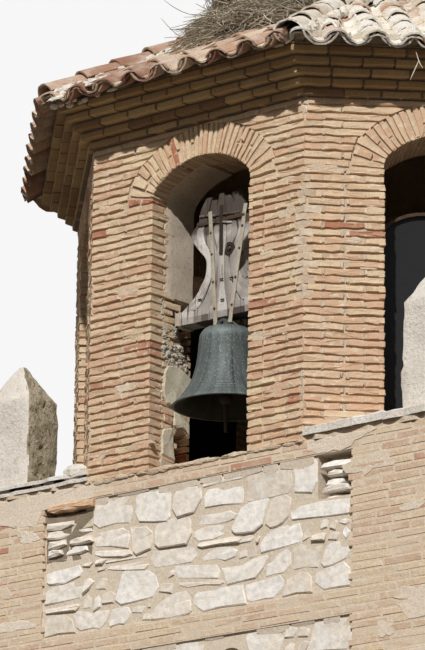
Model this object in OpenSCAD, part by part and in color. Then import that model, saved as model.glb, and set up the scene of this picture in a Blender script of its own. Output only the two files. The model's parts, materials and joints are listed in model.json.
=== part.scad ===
// Brick and rubble bell tower: a square shaft, an octagonal belfry with
// arched openings, a corbelled cornice, a low tiled roof and one swinging bell.
// The front face looks along -Y, and the ground is at z = 0.

/* [Shaft] */
// Width of the square shaft, also the belfry's width across flats
tower_w = 4950; // [4600:10:5400]
// Height of the shaft walls, from the ground to the belfry sill
shaft_h = 9500; // [9200:50:10500]
// Thickness of the shaft walls
shaft_t = 800; // [700:10:900]
// Width of a rubble panel
panel_w = 2970; // [2700:10:3200]
// Height of a rubble panel
panel_h = 1015; // [960:5:1060]
// Height of the brick band between panels
band_h = 190; // [150:5:210]
// Height of brickwork over the top panel
top_band_h = 120; // [100:5:200]
// Depth of a rubble panel
panel_d = 350; // [250:10:400]
// Number of panels up each side
panel_rows = 7; // [5:1:7]
// How far the rubble lies behind the brick face
rubble_set = 18; // [5:1:40]

/* [Slit windows] */
// Width of a slit
slit_w = 260; // [180:10:320]
// Height of a slit up to the top of its arch
slit_h = 700; // [500:10:800]
// Distance from the panel's top edge down to the slit
slit_drop = 100; // [60:10:150]
// Distance of a slit from the middle of its side
slit_shift = 350; // [0:10:600]

/* [Doorway] */
// Width of the doorway in the back wall
door_w = 900; // [800:10:1100]
// Height of the doorway to the top of its arch
door_h = 2100; // [2000:10:2250]
// Thickness of the plank door
door_t = 60; // [40:5:80]
// How far the door stands back from the wall face
door_set = 250; // [100:10:400]
// Brickwork left each side of the doorway and over it
door_margin = 330; // [250:10:400]

/* [Belfry] */
// Height from the sill to the underside of the cornice
belfry_h = 2630; // [2625:5:2900]
// Thickness of the belfry walls
belfry_t = 460; // [400:10:560]
// Width of an arched opening
opening_w = 970; // [900:10:1040]
// Height of an opening from the sill to its crown
opening_h = 2380; // [2300:5:2385]
// Rise of the basket arch above its springing
arch_rise = 285; // [240:5:330]
// Radius of the tight ends of the basket arch
haunch_r = 170; // [140:5:200]
// Depth of the brick ring round an arch
ring_d = 240; // [200:5:240]
// How far the openings stand right of the middle of their side
opening_shift = 40; // [0:5:80]
// Thickness of the belfry floor
floor_t = 250; // [200:10:300]
// Length of floor that bears on the shaft walls
floor_bearing = 150; // [100:10:200]

/* [Cornice and roof] */
// Number of corbelled courses
cornice_courses = 5; // [4:1:6]
// Height of one corbelled course
course_h = 62; // [45:1:70]
// How far each course stands out past the one below
course_step = 62; // [50:1:70]
// Slope of the roof
roof_pitch = 29; // [26:1:33]
// Thickness of the roof's deck and bedding, square to the slope
deck_t = 160; // [120:5:200]
// Thickness of the layer of tiles, square to the slope
tile_t = 120; // [90:5:140]
// Thickness of that layer in the furrows between two rows of cover tiles
pan_t = 45; // [30:5:60]
// Distance between two rows of cover tiles
cover_step = 278; // [260:2:300]
// Width of a cover tile
cover_w = 200; // [170:5:220]
// How far the tiles reach past the cornice
eave_reach = 165; // [80:5:180]

/* [Nest] */
// Radius of the stick nest
nest_r = 1150; // [900:10:1300]
// Height of the nest's rim over the top of the tiles
nest_rim = 420; // [300:10:600]
// How far the nest lies from the tower's axis, to the left and to the front
nest_shift = 300; // [0:10:400]
// How much the nest's lumps swing its radius, as a share of it
nest_lump = 0.06; // [0:0.01:0.09]

/* [Corner copings and pinnacles] */
// Height of the mortar bed on a corner of the shaft
bed_h = 65; // [40:5:120]
// Thickness of the flat slabs on the bed
slab_h = 45; // [30:5:60]
// How far the slabs stand out past the wall face
slab_lip = 25; // [0:5:40]
// Width of a pinnacle, along the front
pinnacle_w = 450; // [380:5:480]
// Depth of a pinnacle, front to back
pinnacle_d = 330; // [300:5:400]
// Height of the left pinnacles' upright part
pinnacle_h = 740; // [600:10:900]
// How much taller the right pinnacles are
right_taller = 90; // [0:10:150]
// Height of a pinnacle's pyramid top
pinnacle_top = 300; // [250:10:400]
// Distance from a pinnacle's middle to the shaft's side faces
pinnacle_in_x = 445; // [400:5:470]
// Distance from a pinnacle's middle to the shaft's front or back face
pinnacle_in_y = 325; // [280:5:400]

/* [Bell] */
// Radius of the bell's mouth
bell_r = 410; // [360:5:420]
// Height of the bell from its lip to the top of its head
bell_h = 616; // [560:2:660]
// Radius of the bell's shoulder
shoulder_r = 205; // [180:5:230]
// Thickness of the bell at its strike point
bow_t = 58; // [45:1:70]
// Thickness of the bell's waist
waist_t = 34; // [26:1:40]
// Height of the axle over the sill
axle_h = 1220; // [1150:10:1250]
// Distance of the axle behind the wall face
axle_set = 310; // [230:5:330]
// Radius of the gudgeon pins
gudgeon_r = 22; // [18:1:28]
// Running clearance round pins
pin_gap = 0.08; // [0.05:0.01:0.1]

/* [Yoke] */
// Gap between the end of a yoke arm and the bearing block beside it
yoke_gap = 40; // [30:1:45]
// Thickness of the yoke, front to back
yoke_t = 150; // [120:5:200]
// Half the height of an arm
arm_r = 50; // [45:1:60]
// Length of an arm's straight end
arm_flat = 55; // [50:1:70]
// Half width of the yoke's waist
waist_w = 150; // [130:5:180]
// Half width of the yoke's shoulder
knee_w = 305; // [260:5:330]
// Half width of the neck over the shoulder
neck_w = 225; // [200:5:240]
// Height of the waist over the axle
waist_z = 380; // [340:10:420]
// Height of the shoulder over the axle
knee_z = 645; // [600:5:680]
// Height of the neck over the axle
neck_z = 745; // [720:5:780]
// Height of the yoke's top over the axle
crest_z = 920; // [880:5:960]

/* [Hidden] */
$fn = 64;

brick_c = [0.80, 0.60, 0.42];
rubble_c = [0.87, 0.84, 0.77];
lime_c = [0.88, 0.87, 0.82];
tile_c = [0.75, 0.58, 0.48];
nest_c = [0.45, 0.40, 0.30];
bronze_c = [0.28, 0.33, 0.31];
timber_c = [0.60, 0.58, 0.54];
iron_c = [0.40, 0.37, 0.33];
screen_c = [0.16, 0.16, 0.17];

sides = 8;
turn = 360 / sides;
half_turn = turn / 2;
flat_r = tower_w / 2;
inner_r = flat_r - belfry_t;
spring_z = shaft_h + opening_h - arch_rise;
cornice_z = shaft_h + belfry_h;
cornice_h = cornice_courses * course_h;
cornice_r = flat_r + cornice_courses * course_step;
roof_z = cornice_z + cornice_h;
eave_r = cornice_r + eave_reach;
eave_drop = eave_reach * tan(roof_pitch);
tile_rise = tile_t / cos(roof_pitch);
tile_apex_z = roof_z + cornice_r * tan(roof_pitch) + tile_rise;
over = 10;
// Hairline joint between masses that meet on slanted or turned faces
joint_gap = 0.3;

// Corner of a regular octagon whose flats lie at distance r, seen from side 0
function corner_x(r) = r * tan(half_turn);
// A point of side i's own frame, turned into the tower's frame
function turned(p, i) = [p[0] * cos(turn * i) - p[1] * sin(turn * i),
    p[0] * sin(turn * i) + p[1] * cos(turn * i)];

// Octagon in plan with its flats at distance r
module octagon(r) {
    circle(r = r / cos(half_turn), $fn = sides);
}

// Upright octagonal prism
module octagon_prism(r, h) {
    rotate([0, 0, half_turn])
    linear_extrude(height = h)
    octagon(r);
}

// Three-centred basket arch: half span a, rise b and end radius r1, grown outwards by d
function crown_r(a, b, r1) = (a * a - 2 * a * r1 + b * b) / (2 * (b - r1));
function meet_angle(a, b, r1) = atan2(crown_r(a, b, r1) - b, a - r1);
function arch_points(a, b, r1, d, n = 5) =
    let (rc = crown_r(a, b, r1), m = meet_angle(a, b, r1))
    concat(
        [for (k = [0:n - 1]) let (t = m * k / n)
            [a - r1 + (r1 + d) * cos(t), (r1 + d) * sin(t)]],
        [for (k = [0:2 * n]) let (t = m + (180 - 2 * m) * k / (2 * n))
            [(rc + d) * cos(t), b - rc + (rc + d) * sin(t)]],
        [for (k = [n - 1:-1:0]) let (t = m * k / n)
            [-(a - r1) - (r1 + d) * cos(t), (r1 + d) * sin(t)]]);

// Arched outline that stands on z = 0, w wide and h high
module arched_outline(w, h, b, r1) {
    translate([0, h - b])
    polygon(arch_points(w / 2, b, r1, 0));
    translate([-w / 2, 0])
    square([w, h - b]);
}

// Arched block cut along Y from y0 to y1, standing at height z
module arched_cut(w, h, b, r1, y0, y1, z) {
    translate([0, y1, z])
    rotate([90, 0, 0])
    linear_extrude(height = y1 - y0)
    arched_outline(w, h, b, r1);
}

// Top edge of the panel in row k, counted down from the belfry
function panel_top(k) = shaft_h - top_band_h - k * (panel_h + band_h);

// The slit in the second panel, cut through the whole wall
slit_rise = slit_w * 0.4;
slit_end_r = slit_w * 0.25;
module slit_cut() {
    translate([slit_shift, 0, 0])
    arched_cut(slit_w, slit_h, slit_rise, slit_end_r,
        -flat_r - over, -flat_r + shaft_t + over, panel_top(1) - slit_drop - slit_h);
}

// Space of every rubble panel on one side, d deep from the wall face
module panel_space(d, front = 0) {
    for (k = [0:panel_rows - 1])
        translate([-panel_w / 2, -flat_r + front, panel_top(k) - panel_h])
        cube([panel_w, d - front, panel_h]);
}

// The brick surround of the doorway, which interrupts the rubble
module door_surround() {
    translate([-door_w / 2 - door_margin, -flat_r - over, -over])
    cube([door_w + 2 * door_margin, shaft_t + 2 * over, door_h + door_margin + over]);
}

// The doorway's shape, standing in the wall from y0 to y1
door_rise = door_w * 0.3;
door_end_r = door_w * 0.18;
module door_shape(y0, y1) {
    arched_cut(door_w, door_h, door_rise, door_end_r, -flat_r + y0, -flat_r + y1, 0);
}

// Rebate for the belfry floor
module floor_space() {
    w = tower_w - 2 * shaft_t + 2 * floor_bearing;
    translate([-w / 2, -w / 2, shaft_h - floor_t])
    cube([w, w, floor_t]);
}

// One shaft wall in the front wall's place: brick frame and backing
module shaft_wall(length, door = false) {
    color(brick_c)
    difference() {
        translate([-length / 2, -flat_r, 0])
        cube([length, shaft_t, shaft_h]);
        difference() {
            panel_space(panel_d, -over);
            if (door)
                door_surround();
        }
        slit_cut();
        floor_space();
        if (door)
            door_shape(-over, shaft_t + over);
    }
}

// The rubble that fills the panels of one side
module rubble(door = false, worn = false) {
    color(rubble_c)
    difference() {
        panel_space(panel_d, rubble_set);
        slit_cut();
        if (door)
            door_surround();
        if (worn)
            worn_corners();
    }
}

// Hollows where stones have fallen out under the top band of the front panel
worn_w = [420, 330];
worn_h = [160, 330];
worn_d = 150;
module worn_corners() {
    for (s = [0, 1])
        translate([s == 0 ? -panel_w / 2 : panel_w / 2 - worn_w[s], -flat_r, panel_top(0) - worn_h[s]])
        cube([worn_w[s], worn_d, worn_h[s]]);
}

inner_length = tower_w - 2 * shaft_t;
module shaft_wall_front() { shaft_wall(tower_w); }
module shaft_wall_right() { rotate([0, 0, 90]) shaft_wall(inner_length); }
module shaft_wall_back() { rotate([0, 0, 180]) shaft_wall(tower_w, door = true); }
module shaft_wall_left() { rotate([0, 0, 270]) shaft_wall(inner_length); }
module rubble_front() { rubble(worn = true); }
module rubble_right() { rotate([0, 0, 90]) rubble(); }
module rubble_back() { rotate([0, 0, 180]) rubble(door = true); }
module rubble_left() { rotate([0, 0, 270]) rubble(); }

// Plank door that closes the doorway at ground level
module plank_door() {
    color(timber_c)
    rotate([0, 0, 180])
    door_shape(door_set, door_set + door_t);
}

module belfry_floor() {
    color(brick_c)
    floor_space();
}

// Corner ledge between the square and the octagon, grown past the wall faces by lip
module ledge_outline(lip) {
    polygon([[corner_x(flat_r), -flat_r - lip], [flat_r + lip, -flat_r - lip],
        [flat_r + lip, -corner_x(flat_r)], [flat_r, -corner_x(flat_r)], [corner_x(flat_r), -flat_r]]);
}

// Mortar bed and flat slabs on the four corner ledges
module corner_copings() {
    color(lime_c)
    for (q = [0:3])
        rotate([0, 0, 90 * q])
        translate([0, 0, shaft_h]) {
            linear_extrude(height = bed_h)
            ledge_outline(0);
            translate([0, 0, bed_h])
            linear_extrude(height = slab_h)
            ledge_outline(slab_lip);
        }
}

// Lime-rendered pinnacle with a blunt pyramid top; sx and sy choose its corner
pinnacle_blunt = 0.08;
module pinnacle(sx, sy) {
    h = pinnacle_h + (sx > 0 ? right_taller : 0);
    color(lime_c)
    translate([sx * (flat_r - pinnacle_in_x), sy * (flat_r - pinnacle_in_y), shaft_h + bed_h + slab_h]) {
        translate([-pinnacle_w / 2, -pinnacle_d / 2, 0])
        cube([pinnacle_w, pinnacle_d, h]);
        translate([0, 0, h])
        linear_extrude(height = pinnacle_top, scale = pinnacle_blunt)
        square([pinnacle_w, pinnacle_d], center = true);
    }
}

module pinnacle_front_left() { pinnacle(-1, -1); }
module pinnacle_front_right() { pinnacle(1, -1); }
module pinnacle_back_right() { pinnacle(1, 1); }
module pinnacle_back_left() { pinnacle(-1, 1); }

right_jamb = opening_shift + opening_w / 2;
left_jamb = opening_shift - opening_w / 2;

// Brick pier at the corner between side i and side i + 1, up to the springing
module belfry_pier(i) {
    color(brick_c)
    difference() {
        translate([0, 0, shaft_h])
        linear_extrude(height = spring_z - shaft_h)
        polygon([turned([right_jamb, -flat_r], i), turned([corner_x(flat_r), -flat_r], i),
            turned([left_jamb, -flat_r], i + 1), turned([left_jamb, -inner_r], i + 1),
            turned([corner_x(inner_r), -inner_r], i), turned([right_jamb, -inner_r], i)]);
        bearing_pockets();
        worn_jamb();
    }
}

// Places where the bell opening's left jamb has crumbled: round the bearing and its inner edge, and a
// small arched niche low down. Each outline gives depth into the wall and height over the sill.
worn_in = 90;
niche_in = 150;
worn_bearing = [[165, 1195], [300, 1160], [belfry_t + over, 850], [belfry_t + over, 1360], [300, 1395],
    [165, 1380]];
worn_niche = [[300, 130], [belfry_t + over, 130], [belfry_t + over, 340], [430, 385], [370, 410], [315, 390],
    [285, 340], [280, 220]];
module jamb_hollow(outline, deep) {
    translate([left_jamb + over, -flat_r, shaft_h])
    rotate([90, 0, 0])
    rotate([0, -90, 0])
    linear_extrude(height = deep + over)
    polygon([for (p = outline) [-p[0], p[1]]]);
}
module worn_jamb() {
    jamb_hollow(worn_bearing, worn_in);
    jamb_hollow(worn_niche, niche_in);
}

// Wall over the opening of side i, from corner to corner, cut for its brick ring
module arch_head(i) {
    color(brick_c)
    rotate([0, 0, turn * i])
    difference() {
        translate([0, 0, spring_z])
        linear_extrude(height = cornice_z - spring_z - joint_gap)
        polygon([[-corner_x(flat_r) + joint_gap, -flat_r], [corner_x(flat_r) - joint_gap, -flat_r],
            [corner_x(inner_r) - joint_gap, -inner_r], [-corner_x(inner_r) + joint_gap, -inner_r]]);
        translate([opening_shift, -inner_r + over, spring_z])
        rotate([90, 0, 0])
        linear_extrude(height = belfry_t + 2 * over)
        polygon(arch_points(opening_w / 2, arch_rise, haunch_r, ring_d));
    }
}

// Rings of radial bricks over the eight openings
module arch_rings() {
    color(brick_c)
    for (i = [0:sides - 1])
        rotate([0, 0, turn * i])
        translate([opening_shift, -inner_r, spring_z])
        rotate([90, 0, 0])
        linear_extrude(height = belfry_t)
        difference() {
            polygon(arch_points(opening_w / 2, arch_rise, haunch_r, ring_d));
            polygon(arch_points(opening_w / 2, arch_rise, haunch_r, 0));
        }
}

// Corbelled brick courses, each standing out past the one below
module cornice() {
    color(brick_c)
    difference() {
        union()
            for (k = [1:cornice_courses])
                translate([0, 0, cornice_z + (k - 1) * course_h])
                octagon_prism(flat_r + k * course_step, course_h);
        translate([0, 0, cornice_z - over])
        octagon_prism(inner_r, cornice_h + 2 * over);
    }
}

// Octagonal body turned from a profile whose radii are taken at the flats
module octagon_turned(profile) {
    rotate([0, 0, half_turn])
    rotate_extrude($fn = sides)
    polygon([for (p = profile) [p[0] / cos(half_turn), p[1]]]);
}

// Roof deck with its bedding: an octagonal pyramid shell
module roof_deck() {
    deck_inner = cornice_r - deck_t / sin(roof_pitch);
    deck_outer = cornice_r - 2 * joint_gap / tan(roof_pitch);
    color(brick_c)
    translate([0, 0, roof_z + joint_gap])
    octagon_turned([[deck_inner, 0], [deck_outer, 0], [0, deck_outer * tan(roof_pitch)],
        [0, deck_inner * tan(roof_pitch)]]);
}

// Outer line of the tile layer, from the eave's narrow underside up to the apex
eave_lip = 20;
eave_z = roof_z - eave_drop;
lip_z = eave_z + eave_lip * tan(roof_pitch);
tile_line = [[eave_r, lip_z], [eave_r, eave_z + tile_rise], [0, tile_apex_z]];

// Section of the furrow between two rows of cover tiles: its half widths and heights over the deck
cover_crest_w = cover_w / 2;
cover_flank_w = cover_w * 0.85;
cover_flank_t = pan_t + (tile_t - pan_t) * 0.6;
furrow = [[cover_step / 2 - cover_w / 2, pan_t], [cover_step / 2 - cover_flank_w / 2, cover_flank_t],
    [cover_step / 2 - cover_crest_w / 2, tile_t], [cover_step / 2 - cover_crest_w / 2, tile_t + over]];
furrow_rows = floor(corner_x(eave_r) / cover_step) + 1;

// The furrows of side 0, which run up the slope and stop beside the hips
module furrows() {
    hip_w = cover_w / 2;
    reach = eave_r + over;
    intersection() {
        translate([0, 0, eave_z - tile_t])
        linear_extrude(height = tile_apex_z - eave_z + 2 * tile_t)
        polygon([[0, -hip_w / sin(half_turn)], [corner_x(reach) - hip_w / cos(half_turn), -reach],
            [hip_w / cos(half_turn) - corner_x(reach), -reach]]);
        for (k = [-furrow_rows:furrow_rows - 1])
            translate([(k + 0.5) * cover_step, -eave_r, eave_z])
            rotate([roof_pitch - 90, 0, 0])
            translate([0, 0, -tile_t])
            linear_extrude(height = eave_r / cos(roof_pitch) + tile_t)
            polygon(concat([for (p = furrow) [p[0], -p[1]]],
                [for (k = [len(furrow) - 1:-1:0]) [-furrow[k][0], -furrow[k][1]]]));
    }
}

// Rows of curved tiles on the deck, with their eave past the cornice
module roof_tiles() {
    color(tile_c)
    difference() {
        octagon_turned(concat([[eave_r - eave_lip, lip_z]], tile_line, [[0, tile_apex_z - tile_rise]]));
        for (i = [0:sides - 1])
            rotate([0, 0, turn * i])
            furrows();
    }
}

// Large nest of sticks over the top of the roof, hollow on top. Its side runs up from a root inside
// the roof over skirt, belly and shoulder to the rim: a share of the nest's radius, and a height
// over the roof's top.
nest_root_z = -820;
nest_skirt_z = -460;
nest_belly_z = -190;
nest_side = [[0.55, nest_root_z], [0.95, nest_skirt_z], [1, nest_belly_z], [0.93, nest_rim * 0.6],
    [0.75, nest_rim]];
nest_cup_r = 620;
nest_cup_foot_r = 370;
nest_cup_d = 130;
nest_line = concat([for (p = nest_side) [p[0] * nest_r, p[1]]],
    [[nest_cup_r, nest_rim], [nest_cup_foot_r, nest_rim - nest_cup_d]]);
nest_around = 24;
// Radius share of the nest's lumps at angle a and level k of its outline
function nest_swing(a, k) = 1 + nest_lump * (0.6 * sin(5 * a + 50 * k) + 0.4 * sin(8 * a - 70 * k));
function nest_ring(k) = [for (n = [0:nest_around - 1]) let (a = 360 * n / nest_around,
    r = nest_line[k][0] * nest_swing(a, k)) [r * cos(a), r * sin(a), nest_line[k][1]]];
module nest_body() {
    levels = len(nest_line);
    foot = levels * nest_around;
    points = concat([for (k = [0:levels - 1]) each nest_ring(k)],
        [[0, 0, nest_line[0][1]], [0, 0, nest_line[levels - 1][1]]]);
    polyhedron(points, concat(
        [for (k = [0:levels - 2], n = [0:nest_around - 1]) let (m = (n + 1) % nest_around, b = k * nest_around)
            each [[b + n, b + nest_around + n, b + m], [b + m, b + nest_around + n, b + nest_around + m]]],
        [for (n = [0:nest_around - 1]) let (m = (n + 1) % nest_around) [foot, n, m]],
        [for (n = [0:nest_around - 1]) let (m = (n + 1) % nest_around, b = (levels - 1) * nest_around)
            [foot + 1, b + m, b + n]]));
}
module stick_nest() {
    color(nest_c)
    difference() {
        translate([-nest_shift, -nest_shift, tile_apex_z])
        nest_body();
        octagon_turned(concat([[0, lip_z]], tile_line));
    }
}

// Dark mesh screens, with low round-cornered tops, in the seven openings without a bell
screen_t = 30;
screen_low = 270;
screen_rise = 170;
screen_corner = 120;
module mesh_screens() {
    color(screen_c)
    for (i = [1:sides - 1])
        rotate([0, 0, turn * i])
        translate([opening_shift, 0, 0])
        arched_cut(opening_w - 2 * joint_gap, opening_h - screen_low, screen_rise, screen_corner,
            -inner_r - screen_t, -inner_r, shaft_h);
}

// Bell gear. Its own frame has the axle's middle at the origin.
axle_y = -flat_r + axle_set;
axle_z = shaft_h + axle_h;
bearing_w = 90;
bearing_tall = 110;
bearing_deep = 140;
bearing_proud = 5;
yoke_w = opening_w - 2 * (bearing_proud + yoke_gap);
module at_axle() {
    translate([opening_shift, axle_y, axle_z])
    children();
}

// Space of one bearing block in a jamb; s is 1 on the right and -1 on the left
module bearing_space(s, proud) {
    translate([s > 0 ? opening_w / 2 - proud : -opening_w / 2 - bearing_deep,
        -bearing_w / 2, -bearing_tall / 2])
    cube([bearing_deep + proud, bearing_w, bearing_tall]);
}

module bearing_pockets() {
    at_axle()
    for (s = [-1, 1])
        bearing_space(s, over);
}

// Bearing blocks let into the jambs, with a bore for the gudgeons
module bearing_blocks() {
    color(iron_c)
    at_axle()
    difference() {
        for (s = [-1, 1])
            bearing_space(s, bearing_proud);
        rotate([0, 90, 0])
        cylinder(r = gudgeon_r + pin_gap, h = opening_w + 2 * bearing_deep + 2 * over, center = true);
    }
}

// Half width of the yoke at height z over the axle: arm, waist, shoulder, neck and round crest
yoke_low = 50;
hollow_power = 2.1;
crest_round = 0.6;
function ease(t) = (1 - cos(180 * t)) / 2;
function part_of(z, z0, z1) = (z - z0) / (z1 - z0);
function yoke_half(z) =
    z < waist_z ? waist_w + (yoke_w / 2 - arm_flat - waist_w) * pow(1 - part_of(z, arm_r, waist_z), hollow_power)
    : z < knee_z ? waist_w + (knee_w - waist_w) * ease(part_of(z, waist_z, knee_z))
    : z < neck_z ? knee_w + (neck_w - knee_w) * ease(part_of(z, knee_z, neck_z))
    : neck_w * sqrt(1 - crest_round * pow(part_of(z, neck_z, crest_z), 2));
yoke_steps = 26;
function yoke_side() = concat([[yoke_w / 2, -yoke_low], [yoke_w / 2, arm_r]],
    [for (k = [0:yoke_steps]) let (z = arm_r + (crest_z - arm_r) * k / yoke_steps) [yoke_half(z), z]]);
function yoke_outline() = let (side = yoke_side())
    concat(side, [for (k = [len(side) - 1:-1:0]) [-side[k][0], side[k][1]]]);

// The yoke's body, without the holes for its pins
module yoke_body() {
    translate([0, yoke_t / 2, 0])
    rotate([90, 0, 0])
    linear_extrude(height = yoke_t)
    polygon(yoke_outline());
}

// Timber yoke that carries and balances the bell
module yoke() {
    color(timber_c)
    at_axle()
    difference() {
        yoke_body();
        rotate([0, 90, 0])
        for (s = [-1, 1])
            translate([0, 0, s > 0 ? yoke_w / 2 - gudgeon_in : -yoke_w / 2 - over])
            cylinder(r = gudgeon_r, h = gudgeon_in + over);
    }
}

// Iron pins that the yoke turns on
gudgeon_in = 120;
gudgeon_out = 130;
module gudgeons() {
    color(iron_c)
    at_axle()
    rotate([0, 90, 0])
    for (s = [-1, 1])
        translate([0, 0, s > 0 ? yoke_w / 2 - gudgeon_in : -yoke_w / 2 - gudgeon_out])
        cylinder(r = gudgeon_r, h = gudgeon_in + gudgeon_out);
}

// Iron straps down both faces of the yoke, tied by a band round it, and a ferrule on each arm
strap_w = 30;
strap_t = 9;
strap_top = 790;
strap_top_x = 155;
strap_foot_x = 62;
strap_foot = 60;
band_z = 715;
band_tall = 40;
ferrule_w = 46;
module strap(x0, z0, x1, z1, w) {
    run = norm([x1 - x0, z1 - z0]);
    translate([x0, 0, z0])
    rotate([0, 90 - atan2(z1 - z0, x1 - x0), 0])
    translate([-w / 2, 0, 0])
    cube([w, strap_t, run]);
}
module yoke_straps() {
    half_band = yoke_half(band_z) + strap_t;
    color(iron_c)
    at_axle() {
        for (face = [-yoke_t / 2 - strap_t, yoke_t / 2])
            translate([0, face, 0]) {
                for (s = [-1, 1])
                    strap(s * strap_foot_x, -yoke_low - strap_foot, s * strap_top_x, strap_top, strap_w);
                strap(0, waist_z, 0, strap_top, strap_w);
            }
        difference() {
            translate([-half_band, -yoke_t / 2 - strap_t, band_z])
            cube([2 * half_band, yoke_t + 2 * strap_t, band_tall]);
            yoke_body();
        }
        difference() {
            for (s = [-1, 1])
                translate([s > 0 ? yoke_w / 2 - ferrule_w : -yoke_w / 2, -yoke_t / 2 - strap_t, -yoke_low - strap_t])
                cube([ferrule_w, yoke_t + 2 * strap_t, yoke_low + arm_r + 2 * strap_t]);
            yoke_body();
        }
    }
}

// The bell, measured down from the axle
crown_h = 70;
head_z = -yoke_low - crown_h;
mouth_z = head_z - bell_h;

// Outer and inner profile of the bell: radius at height t, from 0 at the lip to 1 at the shoulder
flare = 3.2;
swell = 14;
bow_at = 0.10;
bow_spread = 0.12;
function bell_out(t) = shoulder_r + (bell_r - shoulder_r) * pow(1 - t, flare) + swell * sin(180 * t);
function bell_thick(t) = waist_t + (bow_t - waist_t) * exp(-pow((t - bow_at) / bow_spread, 2));
shoulder_t = 0.86;
bell_steps = 16;
lip_w = 22;
lip_bevel = 8;
shoulder_round = 0.55;
module bell_shell() {
    rise = bell_h * shoulder_t;
    round_r = shoulder_r * shoulder_round;
    color(bronze_c)
    at_axle()
    translate([0, 0, mouth_z])
    rotate_extrude($fn = 72)
    polygon(concat(
        [[bell_r - lip_w, 0], [bell_r, lip_bevel]],
        [for (k = [1:bell_steps]) [bell_out(k / bell_steps), rise * k / bell_steps]],
        [for (a = [15:15:90]) [shoulder_r - round_r + round_r * cos(a), rise + (bell_h - rise) * sin(a)]],
        [[0, bell_h], [0, bell_h - waist_t]],
        [for (a = [90:-15:0]) [shoulder_r - round_r + (round_r - waist_t) * cos(a),
            rise + (bell_h - rise - waist_t) * sin(a)]],
        [for (k = [bell_steps - 1:-1:1])
            [bell_out(k / bell_steps) - bell_thick(k / bell_steps), rise * k / bell_steps]]));
}

// Crown of four loops on the bell's head
module bell_crown() {
    stem_r = 62;
    loop_r = 34;
    loop_wire_r = 17;
    color(bronze_c)
    at_axle()
    translate([0, 0, head_z])
    union() {
        cylinder(r = stem_r, h = crown_h);
        for (a = [0:90:270])
            rotate([0, 0, a])
            translate([stem_r, 0, 0])
            rotate([90, 0, 0])
            rotate_extrude(angle = 180, $fn = 32)
            translate([loop_r, 0])
            circle(r = loop_wire_r, $fn = 24);
    }
}

// Iron staple under the bell's head, with the pin that the clapper hangs on
staple_gap = 44;
staple_drop = 60;
clapper_pin_r = 11;
pivot_z = head_z - waist_t - staple_drop;
module clapper_staple() {
    cheek_t = 14;
    cheek_w = 44;
    cheek_under = 26;
    color(iron_c)
    at_axle()
    union() {
        for (s = [-1, 1])
            translate([s > 0 ? staple_gap / 2 : -staple_gap / 2 - cheek_t, -cheek_w / 2, pivot_z - cheek_under])
            cube([cheek_t, cheek_w, staple_drop + cheek_under]);
        translate([0, 0, pivot_z])
        rotate([0, 90, 0])
        cylinder(r = clapper_pin_r, h = staple_gap + 2 * cheek_t, center = true);
    }
}

// Clapper with its eye, shaft, ball and tail
ball_r = 52;
ball_over_lip = 70;
tail_h = 260;
module clapper() {
    eye_r = 27;
    eye_w = 24;
    rod_r = 15;
    tail_foot_r = 12;
    tail_head_r = 22.5;
    ball_z = mouth_z + ball_over_lip - pivot_z;
    color(iron_c)
    at_axle()
    translate([0, 0, pivot_z])
    difference() {
        union() {
            rotate([0, 90, 0])
            cylinder(r = eye_r, h = eye_w, center = true);
            translate([0, 0, ball_z])
            cylinder(r = rod_r, h = -ball_z);
            translate([0, 0, ball_z])
            sphere(r = ball_r);
            translate([0, 0, ball_z - tail_h])
            cylinder(r1 = tail_foot_r, r2 = tail_head_r, h = tail_h);
        }
        rotate([0, 90, 0])
        cylinder(r = clapper_pin_r + pin_gap, h = eye_w + 2 * over, center = true);
    }
}

shaft_wall_front();
shaft_wall_right();
shaft_wall_back();
shaft_wall_left();
rubble_front();
rubble_right();
rubble_back();
rubble_left();
plank_door();
belfry_floor();
corner_copings();
pinnacle_front_left();
pinnacle_front_right();
pinnacle_back_right();
pinnacle_back_left();
for (i = [0:sides - 1])
    belfry_pier(i);
for (i = [0:sides - 1])
    arch_head(i);
arch_rings();
cornice();
roof_deck();
roof_tiles();
stick_nest();
mesh_screens();
bearing_blocks();
yoke();
yoke_straps();
gudgeons();
bell_crown();
bell_shell();
clapper_staple();
clapper();
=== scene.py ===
import json
import math

import bpy
import numpy as np
from mathutils import Matrix, Vector, noise


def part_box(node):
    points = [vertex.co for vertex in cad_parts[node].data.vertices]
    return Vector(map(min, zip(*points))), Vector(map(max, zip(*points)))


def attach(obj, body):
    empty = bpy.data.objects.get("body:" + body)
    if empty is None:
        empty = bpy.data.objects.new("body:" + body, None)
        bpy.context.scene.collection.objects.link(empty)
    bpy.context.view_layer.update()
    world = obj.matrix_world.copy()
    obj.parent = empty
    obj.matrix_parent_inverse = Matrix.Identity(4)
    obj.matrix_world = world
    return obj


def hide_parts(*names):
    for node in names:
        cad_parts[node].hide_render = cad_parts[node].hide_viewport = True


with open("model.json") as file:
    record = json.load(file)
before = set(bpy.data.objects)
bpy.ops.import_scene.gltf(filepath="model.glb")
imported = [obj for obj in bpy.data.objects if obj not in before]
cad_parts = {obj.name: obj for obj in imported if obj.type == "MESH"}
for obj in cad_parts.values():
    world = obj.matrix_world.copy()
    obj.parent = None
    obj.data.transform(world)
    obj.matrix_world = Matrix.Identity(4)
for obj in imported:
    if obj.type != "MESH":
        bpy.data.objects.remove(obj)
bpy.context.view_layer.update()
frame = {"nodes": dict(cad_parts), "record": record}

# %% [markdown]
# A bell tower seen from far below. The solids come from the CAD frame and stay where they are: here
# they are the mortar and the rough core. Bricks, stones, tiles and sticks are laid on them one by
# one, because at this distance the eye reads a wall by the light and shadow of its single bricks.
# The sizes below are read from the frame, so the dressing follows the solids.

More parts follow.
